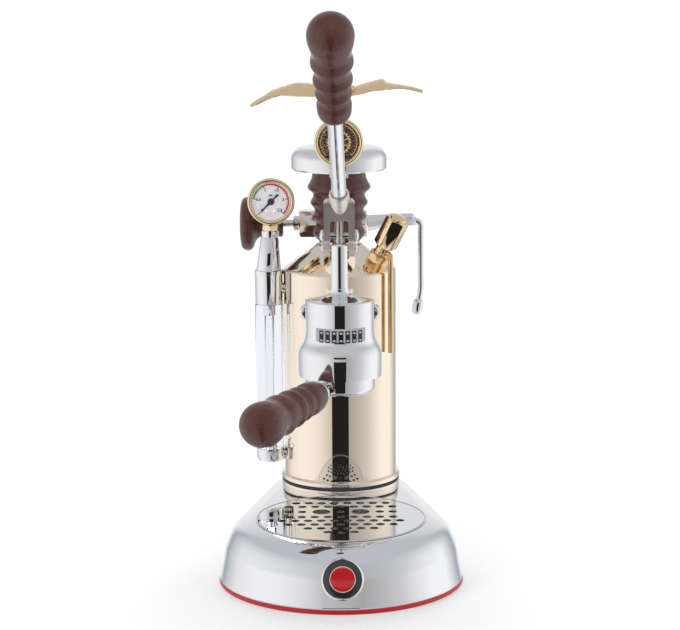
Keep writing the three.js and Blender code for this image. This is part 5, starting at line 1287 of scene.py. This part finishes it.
def gauge_case(prefix, stem_pieces, finish):
    low, high = box(f"{prefix}_case")
    dial_low, dial_high = box(f"{prefix}_dial")
    centre = Vector(((low.x + high.x) / 2, low.y, (dial_low.z + dial_high.z) / 2))
    depth = high.y - low.y
    floor = -(dial_high.y - low.y) - 0.2
    bezel_depth = 5.2
    inner = dial_radius + 0.3
    rim_middle, rim_half, rim_height = (gauge_radius + inner) / 2, (gauge_radius - inner) / 2, 2.2
    rim_curve = [(rim_middle + rim_half * x, rim_height * (y - 1)) for x, y in arc(0, 0, 1, 0, math.pi, 18)]
    body = turned(f"{prefix}_case_spun", [
        (0, -depth), (case_radius - 2, -depth), (case_radius - 0.6, -depth + 0.6),
        (case_radius, -depth + 2), (case_radius, -bezel_depth), (gauge_radius - 0.6, -bezel_depth),
        (gauge_radius, -bezel_depth + 0.7), *rim_curve, (inner, floor), (0, floor),
    ], 128)
    place(body, aimed(centre, (0, -1, 0)))
    case = joined(f"{prefix}_case_made", body, *stem_pieces(centre))
    dress(smooth(case, 40), f"{prefix}_case", finish)
    lens = turned(f"{prefix}_glass", [
        (0, -2.2), (dial_radius, -2.2), (dial_radius, -1.5), (dial_radius * 0.5, -1.36), (0, -1.3),
    ])
    place(lens, aimed(centre, (0, -1, 0)))
    dress(smooth(lens), f"{prefix}_lens", gauge_glass)


sight_lean = math.radians(2.7)
lean_direction = Vector((math.sin(sight_lean), 0, math.cos(sight_lean)))


def boiler_gauge_stem(centre):
    low = heights_of("boiler_gauge_case")[0]
    middle = Vector((centre.x, middle_of("boiler_gauge_case").y, centre.z))
    reach = (centre.z - low) / lean_direction.z
    stem_top = case_radius - 2
    nut = hexagon("gauge_nut", 12.6, -reach, 4.9 - reach, 0.8)
    stem = drum("gauge_stem", 4.2, -reach, -stem_top, 48)
    return [place(piece, aimed(middle, lean_direction)) for piece in (nut, stem)]


def group_gauge_stem(centre):
    low = heights_of("group_gauge_case")[0]
    middle_y = middle_of("group_gauge_case").y
    stem_top = centre.z - case_radius + 2
    stem = turned("small_stem", [(0, low), (4.6, low), (4.2, low + 1), (4.2, stem_top), (0, stem_top)], 48)
    return [lift(stem, (centre.x, middle_y, 0))]


bezel_gold = plated("bezel gold plate", (0.97, 0.8, 0.53), 0.1, 0.01, 0.03, tint=(0.95, 0.76, 0.48))
gauge_case("boiler_gauge", boiler_gauge_stem, bezel_gold)
gauge_case("group_gauge", group_gauge_stem, bezel_gold)
print("gauge cases spun")


# %% Draw the dials
def dial_disc(prefix, name, finish):
    low, high = box(f"{prefix}_dial")
    centre = Vector(((low.x + high.x) / 2, high.y, (low.z + high.z) / 2))
    depth = high.y - low.y
    disc = place(drum(name, dial_radius, 0, depth), aimed(centre, (0, -1, 0)))
    dress(smooth(disc), f"{prefix}_dial", finish)
    return Vector((centre.x, low.y, centre.z))


def polar_bar(name, centre, angle, inner, outer, width, finish, node, rise=0.06):
    """A short printed line on a dial, along a radius."""
    half = width / 2
    bar = slab(name, [(inner, -half), (outer, -half), (outer, half), (inner, half)], 0, rise)
    place(bar, facing(centre) @ Matrix.Rotation(angle, 4, "Z"))
    return dress(bar, node, finish, replaces=False)


def polar_band(name, centre, start, stop, inner, outer, finish, node, rise=0.05):
    band = slab(name, arc(0, 0, outer, start, stop, 40) + arc(0, 0, inner, stop, start, 40), 0, rise)
    place(band, facing(centre))
    return dress(band, node, finish, replaces=False)


def dial_text(name, words, centre, x, z, size, finish, node):
    label = added(name, bpy.ops.object.text_add)
    label.data.body = words
    label.data.size = size * MM
    label.data.align_x = "CENTER"
    label.data.align_y = "CENTER"
    label.data.extrude = 0.03 * MM
    label.data.offset = 0.1 * MM
    label.data.resolution_u = 3
    only(label)
    bpy.ops.object.convert(target="MESH")
    label = bpy.context.object
    place(label, facing((centre.x + x, centre.y - 0.03, centre.z + z)))
    return dress(label, node, finish, replaces=False)


white_enamel = moulded("white dial enamel", (0.8, 0.78, 0.84), 0.4, 700.0, 0.03)
print_black = moulded("black dial print", (0.015, 0.015, 0.017), 0.5)
print_green = moulded("green dial print", (0.03, 0.36, 0.07), 0.5)
print_red = moulded("red dial print", (0.7, 0.015, 0.025), 0.5)
face_centre = dial_disc("boiler_gauge", "white_dial", white_enamel)
sweep_start, sweep_range, scale_top = math.radians(225), math.radians(270), 2.5


def scale_angle(pressure):
    return sweep_start - sweep_range * pressure / scale_top


scale_radius = dial_radius - 1.3
node = "boiler_gauge_dial"
polar_band("arc_green", face_centre, scale_angle(1.0), scale_angle(0.5), scale_radius - 0.9,
           scale_radius + 0.5, print_green, node)
polar_band("arc_red", face_centre, scale_angle(2.5), scale_angle(1.0), scale_radius - 0.9,
           scale_radius + 0.5, print_red, node)
for i in range(26):
    pressure = i * 0.1
    main = i % 5 == 0
    polar_bar(f"tick_{i:02d}", face_centre, scale_angle(pressure), scale_radius - (2.8 if main else 1.9),
              scale_radius + (0.5 if main else -0.9), (0.6 if main else 0.25), print_black, node, 0.09)
label_radius = dial_radius - 5.6
for i, words in enumerate(("0", "0.5", "1", "1.5", "2", "2.5")):
    angle = scale_angle(i * 0.5)
    dial_text(f"number_{i}", words, face_centre, label_radius * math.cos(angle),
              label_radius * math.sin(angle), 3.4, print_black, node)
dial_text("unit", "bar", face_centre, 0, 5.4, 2.6, print_black, node)
for side_sign in (-1, 1):
    screw = turned(f"dial_screw_{side_sign}", [(0, 0), (1.4, 0), (1.4, 0.25), (1.0, 0.5), (0, 0.55)], 32)
    place(screw, aimed((face_centre.x + side_sign * 3.5, face_centre.y, face_centre.z - 8.5), (0, -1, 0)))
    dress(smooth(screw), node, gold, replaces=False)
print("white dial drawn")

# %% Engrave the bronze dial
bronze = Finish("bronze dial", (0.07, 0.04, 0.03), 0.34, 0.7)
bronze_face = middle_of("group_gauge_dial")
spot = bronze.place(facing(bronze_face))
fleck = bronze.noise(spot, 380.0, 4.0)
bronze.set("Base Color", bronze.ramp(fleck, [
    (0.35, (0.035, 0.02, 0.016)), (0.55, (0.1, 0.055, 0.038)), (0.75, (0.3, 0.17, 0.09)),
]))
bronze.bump(fleck, 0.3, 0.1)
face_two = dial_disc("group_gauge", "bronze_dial", bronze)
node = "group_gauge_dial"
gilt = plated("gilt relief", (0.75, 0.5, 0.25), 0.25)
polar_band("wheel_rim", face_two, 0, 2 * math.pi - 0.001, 8.2, 8.9, gilt, node, 0.25)
polar_band("wheel_hub", face_two, 0, 2 * math.pi - 0.001, 2.4, 3.2, gilt, node, 0.25)
polar_band("scale_rim", face_two, math.radians(-45), math.radians(225), 14.6, 14.9, gilt, node, 0.1)
for i in range(8):
    polar_bar(f"wheel_spoke_{i}", face_two, math.radians(22.5 + 45 * i), 3, 8.4, 0.7, gilt, node, 0.22)
for i in range(24):
    polar_bar(f"wheel_tooth_{i:02d}", face_two, math.radians(15 * i), 8.7, 10, 1.1, gilt, node, 0.25)
for i in range(28):
    angle = math.radians(-45 + 10 * i)
    polar_bar(f"small_tick_{i:02d}", face_two, angle, 12.9, 14.7, 0.22, gilt, node, 0.1)


def pointer(prefix, finish, angle, length, tail, hub_radius, half_width):
    low, high = box(f"{prefix}_needle")
    dial_low, dial_high = box(f"{prefix}_dial")
    centre = Vector(((dial_low.x + dial_high.x) / 2, high.y, (dial_low.z + dial_high.z) / 2))
    blade = slab(f"{prefix}_blade", [
        (-tail, -1.3 * half_width), (-hub_radius, -0.8 * half_width), (hub_radius, -half_width),
        (length * 0.7, -0.75 * half_width), (length, -0.1 * half_width), (length, 0.1 * half_width),
        (length * 0.7, 0.75 * half_width), (hub_radius, half_width), (-hub_radius, 0.8 * half_width),
        (-tail, 1.3 * half_width),
    ], 0.1, 0.45)
    hub_side = [(0, 0), (hub_radius, 0), (hub_radius, 0.5), (hub_radius - 0.3, 0.75), (0, 0.85)]
    hub = turned("hub", hub_side, 48)
    needle = joined(f"{prefix}_pointer", blade, hub)
    place(needle, facing(centre) @ Matrix.Rotation(angle, 4, "Z"))
    return dress(smooth(needle, 40), f"{prefix}_needle", finish)


pointer("boiler_gauge", black_paint, math.radians(225), 14.4, 8.6, 2.9, 0.8)
pointer("group_gauge", needle_red, math.radians(218.7), 14.4, 4.5, 1.9, 0.6)
print("bronze dial engraved")

# %% [markdown]
# ## The portafilter
#
# The filter holder is a heavy chromed ring without a spout. Two lugs hold it in the bell. Its handle is
# a second turned grip, and a rounded ferrule joins the two.

# %% Turn the ring, the basket and the second grip
ring_top = heights_of("portafilter_ring")[1]
ring_foot = 150.2
ring_radius = 29.3
ring_bore = 26.4
foot_round = 4.2
ring_arc = arc(ring_radius - foot_round, ring_foot + foot_round, foot_round, -math.pi / 2, 0, 9)
ring_piece = turned("holder_ring", [
    (ring_bore, ring_foot + 0.5), (ring_bore + 0.6, ring_foot), *ring_arc, (ring_radius, ring_top - 0.4),
    (ring_radius - 0.4, ring_top), (ring_bore, ring_top), (ring_bore, ring_foot + 0.5),
], 128)
handle_azimuth = math.radians(26.8)
handle_droop = math.radians(3.5)
handle_direction = Vector((
    -math.sin(handle_azimuth) * math.cos(handle_droop), -math.cos(handle_azimuth) * math.cos(handle_droop),
    -math.sin(handle_droop),
))
handle_root = Vector((0, 0, 157))
handle_start = 39
lug_bands = []
for middle_angle in (0, math.pi):
    turn = middle_angle + math.radians(-5)
    band = arc(0, 0, 30.7, turn - math.radians(22), turn + math.radians(22), 20) \
        + arc(0, 0, 27.2, turn + math.radians(22), turn - math.radians(22), 20)
    lug_bands.append(soften(slab("holder_lug", band, 167.7, 170.4), 0.3, 2, 50))
ferrule = turned("holder_ferrule", [
    (0, 24), *curve_through([(6.6, 24), (6.5, 28), (7.1, 31.5), (8.2, 34.5),
                                  (8.4, 37), (8.0, 38.4)], 5), (7.2, 38.9), (0, 38.9),
], 64)
place(ferrule, aimed(handle_root, handle_direction))
change(ferrule, drum("bore space", ring_bore + 0.1, 140, 180))
holder = lift(joined("holder_made", ring_piece, *lug_bands, ferrule), (0, group_axis.y, 0))
dress(smooth(holder, 40), "portafilter_ring", chrome)

second_grip = turned_grip("holder_grip", holder_end_shape, grip_length)
second_ball = handle_root + Vector((0, group_axis.y, 0)) + handle_direction * (handle_start + grip_length)
second_place = aimed(second_ball, handle_direction)
place(second_grip, second_place)
dress(smooth(second_grip, 60), "portafilter_handle", wood("holder grip wood", second_place))
basket_low, basket_high = heights_of("filter_basket")
basket_rim = radius_of("filter_basket")
basket_wall = 26
basket = turned("basket_pressed", [
    (0, basket_low), (23.5, basket_low), (25.4, basket_low + 0.8), (basket_wall, basket_low + 2.4),
    (basket_wall, basket_high - 0.8), (basket_rim, basket_high - 0.8), (basket_rim, basket_high),
    (basket_wall - 0.8, basket_high), (basket_wall - 0.8, basket_low + 2.6), (23.5, basket_low + 0.8),
    (0, basket_low + 0.8),
])
perforated = brushed("perforated steel", (0.76, 0.765, 0.77), 0.18, 0.3, (300, 300, 300))
lift(basket, (0, group_axis.y, 0))
dress(smooth(basket, 40), "filter_basket", perforated)
print("portafilter turned")

# %% [markdown]
# ## The steam tap
#
# A long nickel hexagon lies behind the boiler's neck. A turned wooden knob works its spindle on the left,
# and on the right a tapered arm ends in a small swivel nut from which the bent wand hangs.

# %% Shape the tap
tap_low, tap_high = box("steam_valve_body")
tap_across = 22.4
tap_axis = (tap_low + tap_high) / 2
tap_z = middle_of("steam_spindle").z
hex_bar = hexagon("tap_hex", tap_across, tap_low.x, tap_high.x, 1.6)
lie_down = Matrix.Rotation(math.radians(90), 4, "Y")
place(hex_bar, Matrix.Translation(Vector((0, tap_axis.y, tap_z))) @ lie_down)
soften(hex_bar, 0.35, 2, 40)
stub = lift(drum("tap_stub", 7, 228, tap_z - 8, 48), (0, tap_axis.y, 0))
change(stub, turned("cone space", [
    (0, 150), (vessel_radius + 0.1, 150), (vessel_radius + 0.1, shoulder_height),
    (neck_radius, vessel_high), (0, vessel_high),
]))
tap = joined("tap_made", hex_bar, stub)
dress(smooth(tap, 34), "steam_valve_body", bright_nickel)

knob_low, knob_high = box("steam_knob")
knob_radius = (knob_high.z - knob_low.z) / 2
knob_middle = (knob_low + knob_high) / 2
knob_face = knob_high.x - knob_low.x
disc_back = 13.6
hub_radius = 11.5
knob_profile = curve_through([
    (0, 0), (knob_radius * 0.45, 0.35), (knob_radius * 0.78, 1.3), (knob_radius * 0.94, 3.2),
    (knob_radius, 6.4), (knob_radius * 0.98, 9.6), (knob_radius * 0.88, 12.2),
    (knob_radius * 0.66, disc_back + 0.6), (hub_radius + 1, disc_back + 3),
    (hub_radius - 0.6, disc_back + 8), (hub_radius - 0.4, knob_face - 6),
    (hub_radius + 0.3, knob_face - 2.6), (hub_radius - 0.2, knob_face - 0.8),
    (hub_radius - 1.6, knob_face),
], 5)
knob_place = aimed((knob_low.x, knob_middle.y, knob_middle.z), (1, 0, 0))
knob = place(turned("tap_knob", knob_profile + [(0, knob_face)]), knob_place)
dress(smooth(knob, 60), "steam_knob", wood("knob wood", knob_place))
spindle_low, spindle_high = box("steam_spindle")
collar_start, collar_end = tap_low.x - 4.9, tap_low.x - 0.3
spindle = turned("tap_spindle", [
    (0, spindle_low.x), (3.2, spindle_low.x), (3.2, collar_start), (6.0, collar_start),
    (6.6, collar_start + 0.7), (6.6, collar_end - 0.7), (6.0, collar_end), (3.2, collar_end),
    (3.2, spindle_high.x), (0, spindle_high.x),
], 64)
place(spindle, aimed((0, tap_axis.y, tap_z), (1, 0, 0)))
dress(smooth(spindle, 40), "steam_spindle", bright_nickel)
print("tap shaped")

# %% Bend the wand
arm_tip = Vector((64, tap_axis.y, tap_z + 4.6))
arm_root = Vector((box("steam_arm")[0].x, tap_axis.y, tap_z))
arm_direction = (arm_tip - arm_root).normalized()
arm_length = (arm_tip - arm_root).length
cone = turned("arm_cone", [
    (0, 0), (7.3, 0), (7.3, 1.2), (6.9, 2.0), (3.9, arm_length - 1),
    *[(3.9 * x, arm_length - 1 + 2.4 * y) for x, y in arc(0, 0, 1, 0, math.pi / 2, 6)[1:-1]],
    (0, arm_length + 1.4),
], 64)
place(cone, aimed(arm_root, arm_direction))
wand_axis_z = tap_z + 1.6
nut_end = 66.6
nut_length = 7
swivel = hexagon("swivel_nut", 7.6, 0, nut_length, 0.6)
place(swivel, aimed((nut_end - nut_length, tap_axis.y, wand_axis_z), (1, 0, 0)))
arm = joined("arm_made", cone, swivel)
dress(smooth(arm, 38), "steam_arm", chrome)
wand_x = 70.8
wand_bend = 4.8
knee_z = wand_axis_z - 60.1
tip_z = knee_z - 12
tip_x = 68.7
bend = arc(wand_x - wand_bend, wand_axis_z - wand_bend, wand_bend, math.pi / 2, 0, 6)
wand = tube("wand_bent", [
    (x, tap_axis.y, z) for x, z in [(nut_end - 3, wand_axis_z), *bend, (wand_x, wand_axis_z - 20),
                                    (wand_x, knee_z + 16), (wand_x, knee_z), (tip_x, tip_z)]
], 2.6, 5)
nozzle_direction = Vector((tip_x - wand_x, 0, tip_z - knee_z)).normalized()
nozzle = turned("wand_nozzle", curve_through([
    (0, -4), (2.4, -3.6), (4.3, -1.2), (4.6, 1.2), (4.6, 5.4), (3.9, 8.4),
    (2.2, 10.5), (0, 11),
], 5), 64)
place(nozzle, aimed((tip_x, tap_axis.y, tip_z), nozzle_direction))
wand = joined("wand_made", wand, nozzle)
dress(smooth(wand, 50), "steam_wand", chrome)
print("wand bent")

# %% [markdown]
# ## The sight glass
#
# A thin glass tube stands in a clear shield between two chromed fittings, which carry the boiler gauge
# on top. The shield is real thin-walled acrylic with polished ends.

# %% Turn the fittings and the clear tubes
sight = middle_of("sight_shield")
shield_low, shield_high = heights_of("sight_shield")
shield_radius = radius_of("sight_shield")
head_low = heights_of("sight_head")[0]
foot_low, foot_high = heights_of("sight_foot")
gland = 5.6
head_foot = shield_high + 0.3
band_foot, band_top = 234.5, 239
cone_length = 27.8
head_collar_length = 5.6
to_boiler = Vector((-sight.x, -sight.y, 0)).normalized()


def branch(height):
    pipe = place(drum("sight_branch", 4.8, 0, 16, 40), aimed((sight.x, sight.y, height), to_boiler))
    return change(pipe, drum("vessel clearance", vessel_radius + 0.1, 60, 240))


head = turned("sight_head_turned", [
    (0, head_low), (gland, head_low), (gland, head_foot - 2), (gland + 0.8, head_foot - 1),
    (gland + 0.8, head_foot), (shield_radius - 0.4, head_foot), (shield_radius, head_foot + 0.5),
    (shield_radius, band_foot - 0.4), (shield_radius + 0.4, band_foot + 0.4),
    (shield_radius + 0.4, band_top - 0.6), (shield_radius - 0.2, band_top), (0, band_top),
])
lift(head, (sight.x, sight.y, 0))
collar_top = cone_length + head_collar_length
head_cone = turned("sight_cone", [
    (0, -1), (10.7, -1), (10.5, 0.6), (7.6, cone_length - 1), (7, cone_length),
    (7.4, cone_length + 0.5), (7.4, collar_top - 0.5), (6.9, collar_top), (0, collar_top),
])
place(head_cone, aimed((sight.x, sight.y, band_top), lean_direction))
dress(smooth(joined("sight_head_made", head, head_cone, branch(222)), 40), "sight_head", chrome)
foot_top = shield_low - 0.3
foot_piece = turned("sight_foot_turned", [
    (0, foot_low), (shield_radius - 4, foot_low), (shield_radius - 1.2, foot_low + 0.9),
    (shield_radius, foot_low + 3.4), (shield_radius, foot_top - 0.4), (shield_radius - 0.4, foot_top),
    (gland, foot_top), (gland, foot_high - 0.4), (gland - 0.4, foot_high), (0, foot_high),
])
lift(foot_piece, (sight.x, sight.y, 0))
dress(smooth(joined("sight_foot_made", foot_piece, branch(77)), 40), "sight_foot", chrome)


def clear_pipe(node, name, wall_width, finish):
    low, high = heights_of(node)
    outer = radius_of(node)
    inner = outer - wall_width
    pipe = turned(name, [(inner, low), (outer, low), (outer, high), (inner, high), (inner, low)])
    soften(pipe, 0.25, 2, 60)
    lift(pipe, (sight.x, sight.y, 0))
    return dress(smooth(pipe, 40), node, finish)


clear_pipe("sight_shield", "sight_shield_clear", 1.3, acrylic)
clear_pipe("sight_tube", "sight_tube_clear", 1.1, clear("sight glass", (0.97, 0.985, 0.98), 1.35))
print("sight glass built")

# %% [markdown]
# ## The safety valve
#
# On the cone stands a small gold valve that leans outward: a hexagon at its root, a round neck, and a
# long hexagonal cap with turned-off corners. A thin pipe carries what it blows off down past the shoulder.

# %% Build the valve on the slope
valve_azimuth = math.radians(-33)
valve_place_radius = 37.2
valve_lean = math.radians(30)
radial = Vector((math.cos(valve_azimuth), math.sin(valve_azimuth), 0))
rise_over_run = (vessel_high - shoulder_height) / (vessel_radius - neck_radius)
seat_height = vessel_high - rise_over_run * (valve_place_radius - neck_radius)
valve_seat = radial * valve_place_radius + Vector((0, 0, seat_height))
valve_direction = radial * math.sin(valve_lean) + Vector((0, 0, math.cos(valve_lean)))
valve_place = aimed(valve_seat, valve_direction)
base_length = 8.7
neck_end = base_length + 8.3
valve_base = hexagon("valve_base", 16.5, -1.5, base_length, 0.9)
valve_neck = turned("valve_neck", [
    (0, base_length - 1), (6.7, base_length - 1), (6.7, base_length + 2), (6.1, base_length + 2.6),
    (6.1, neck_end - 1.2), (6.7, neck_end - 0.6), (6.7, neck_end), (0, neck_end),
], 64)
valve = place(joined("valve_made", soften(valve_base, 0.3, 2, 40), valve_neck), valve_place)
dress(smooth(valve, 36), "safety_valve_body", deep_gold)
cap_foot = neck_end + 0.3
cap_top = cap_foot + 26.4
cap_hex = soften(hexagon("valve_cap_hex", 17.8, cap_foot, cap_top, 1), 0.3, 2, 30)
place(cap_hex, Matrix.Rotation(math.radians(30), 4, "Z"))
crown = turned("valve_crown", [
    (0, cap_top - 1), (7, cap_top - 1), (7, cap_top + 1.2), (6.4, cap_top + 2), (4.4, cap_top + 2.7),
    (0, cap_top + 3),
], 64)
cap = place(joined("valve_cap", cap_hex, crown), valve_place)
dress(smooth(cap, 36), "safety_cap", gold)
pipe_low, pipe_high = box("discharge_pipe")
pipe_radius = 2.25
pipe_x = pipe_high.x - pipe_radius + 1.2
pipe_y = pipe_low.y + pipe_radius
pipe_foot = pipe_low.z - 3.4
pipe = tube("drain_pipe", [
    (39.5, pipe_y + 4.9, 255.4), (pipe_x - 0.5, pipe_y + 1.8, 253.5),
    (pipe_x, pipe_y, 249), (pipe_x, pipe_y, 240), (pipe_x, pipe_y, 210), (pipe_x, pipe_y, pipe_foot),
], pipe_radius, 8)
dress(smooth(pipe, 50), "discharge_pipe", deep_gold)
print("valve at", [round(c, 1) for c in valve_seat])

# %% [markdown]
# ## The back of the base
#
# At the back are a rocker switch in a black frame and a cord gland, both on the leaning side of the shell.

# %% Keep the switch and the gland
keep("switch_frame", black_plastic)
keep("switch_rocker", black_paint)
keep("cord_gland", black_plastic)
print("back fittings dressed")

# %% [markdown]
# ## The studio
#
# The machine stands on a white floor in front of white. A mirror finish needs something dark to show as
# well, so mirror reflections alone see a room: grey panels round the sides, a darker ceiling, and two dark
# bands at the front, where the camera stands. Everything else sees plain white. The floor lets reflections
# through, so that upright pieces show that room down to their feet. It glows weakly near the machine, which
# keeps the shadow at its foot, and fully farther away, where it has to stay white.

# %% A white floor
floor = added("studio_floor", bpy.ops.mesh.primitive_plane_add, size=12)
floor_finish = Finish("white floor", (0.94, 0.94, 0.94), 0.7)
glow_strength = 1.08
near_share, near_reach, far_reach = 0.3, 0.22, 0.6
away = floor_finish.node("ShaderNodeVectorMath", {"operation": "LENGTH"}, {0: floor_finish.place()}, 1)
glow_share = floor_finish.node("ShaderNodeMapRange", {},
                               {0: away, 1: near_reach, 2: far_reach, 3: near_share, 4: 1.0})
glow = floor_finish.node("ShaderNodeEmission", {}, {"Strength": glow_strength})
lit = floor_finish.node("ShaderNodeMixShader", {}, {
    0: glow_share, 1: Value(floor_finish, floor_finish.shader.outputs[0]), 2: glow,
})
reflected = floor_finish.node("ShaderNodeLightPath", {}, {}, 5)
opening = floor_finish.node("ShaderNodeBsdfTransparent", {}, {})
shown = floor_finish.node("ShaderNodeMixShader", {}, {0: reflected, 1: lit, 2: opening})
floor_finish.feed(floor_finish.tree.nodes["Material Output"].inputs["Surface"], shown)
paint(floor, floor_finish)

# %% A room for the reflections
world = bpy.data.worlds.new("studio")
bpy.context.scene.world = world
world.use_nodes = True
world.node_tree.nodes.clear()
room = Network(world.node_tree)
gaze = room.node("ShaderNodeTexCoord", {}, {})
across, ahead, height = [room.node("ShaderNodeSeparateXYZ", {}, {0: gaze}, k) for k in range(3)]
bearing = room.node("ShaderNodeMath", {"operation": "ARCTAN2"}, {0: across, 1: ahead * -1})
turn = bearing * (0.5 / math.pi) + 0.5
blue_grey = (0.36, 0.42, 0.52)
panel_levels = [
    (-180, 0.9), (-162, 0.9), (-150, blue_grey), (-138, 0.6), (-118, 0.86), (-90, 0.97), (-60, 0.94),
    (-43, 0.85), (-28, 0.72), (-16, 0.56), (0, 0.5), (20, 0.42), (43, 0.55), (59, 0.66), (76, 0.85),
    (95, 1.0), (120, 1.0), (138, 0.62), (150, blue_grey), (162, 0.9), (180, 0.9),
]
panels = room.ramp(turn, [
    ((degrees + 180) / 360, level if isinstance(level, tuple) else (level, level, level))
    for degrees, level in panel_levels
])
gap_half_angle = math.radians(17)
ceiling = room.node("ShaderNodeMapRange", {}, {0: height, 1: 0.1, 2: 0.65, 3: 0.0, 4: 1.0})
shell = room.blend(ceiling, panels, (0.55, 0.56, 0.6))
gap_foot, gap_head, gap_top = 0.03, 0.13, 0.3
off_centre = room.node("ShaderNodeMath", {"operation": "ABSOLUTE"}, {0: bearing})
gap = (off_centre < gap_half_angle) * ((height < gap_foot) + (height > gap_head) * (height < gap_top))
walls = room.node("ShaderNodeBackground", {}, {"Color": room.blend(gap, shell, (0.016, 0.015, 0.015))})
fill_level = 0.5
matt = room.node("ShaderNodeLightPath", {}, {}, 2)
plain = room.node("ShaderNodeBackground", {},
                  {"Color": (1, 1, 1, 1), "Strength": matt * (fill_level - 1) + 1})
mirrored = room.node("ShaderNodeLightPath", {}, {}, 3) * room.node("ShaderNodeLightPath", {}, {}, 5)
view = room.node("ShaderNodeMixShader", {}, {0: mirrored, 1: plain, 2: walls})
room.feed(world.node_tree.nodes.new("ShaderNodeOutputWorld").inputs["Surface"], view)
print("room ready")

# %% Lamps and camera
def lamp(name, place_at, target, size, power):
    light = added(name, bpy.ops.object.light_add, place_at, type="AREA")
    light.data.shape = "RECTANGLE"
    light.data.size, light.data.size_y = size
    light.data.energy = power
    light.visible_glossy = False
    light.rotation_euler = (Vector(target) - Vector(place_at)).to_track_quat("-Z", "Y").to_euler()
    return light


machine_middle = (0, -0.06, 0.24)
lamp("window_left", (-1.3, -1.0, 1.0), machine_middle, (0.5, 1.3), 8)
lamp("window_right", (1.4, -0.9, 0.9), machine_middle, (0.35, 1.3), 6)
lamp("softbox_back", (0, 1.2, 1.4), machine_middle, (1.4, 1.0), 22)

camera_height = 0.5558
camera_distance = 1.94
camera_pitch = 10.47
focal_pixels = 2295
image_width = 680
sensor_width = 36
camera_offset = 0.0002
camera_roll = 0.34
bpy.ops.object.camera_add(location=(camera_offset, -camera_distance, camera_height))
camera = bpy.context.object
pitched = Matrix.Rotation(math.radians(90 - camera_pitch), 4, "X")
rolled = Matrix.Rotation(-math.radians(camera_roll), 4, "Z")
camera.rotation_euler = (pitched @ rolled).to_euler()
camera.data.sensor_fit = "HORIZONTAL"
camera.data.sensor_width = sensor_width
camera.data.lens = focal_pixels / image_width * sensor_width
camera.data.clip_end = 50
scene = bpy.context.scene
scene.camera = camera
scene.view_settings.view_transform = "Standard"

print(len(dressed), "pieces dressed")
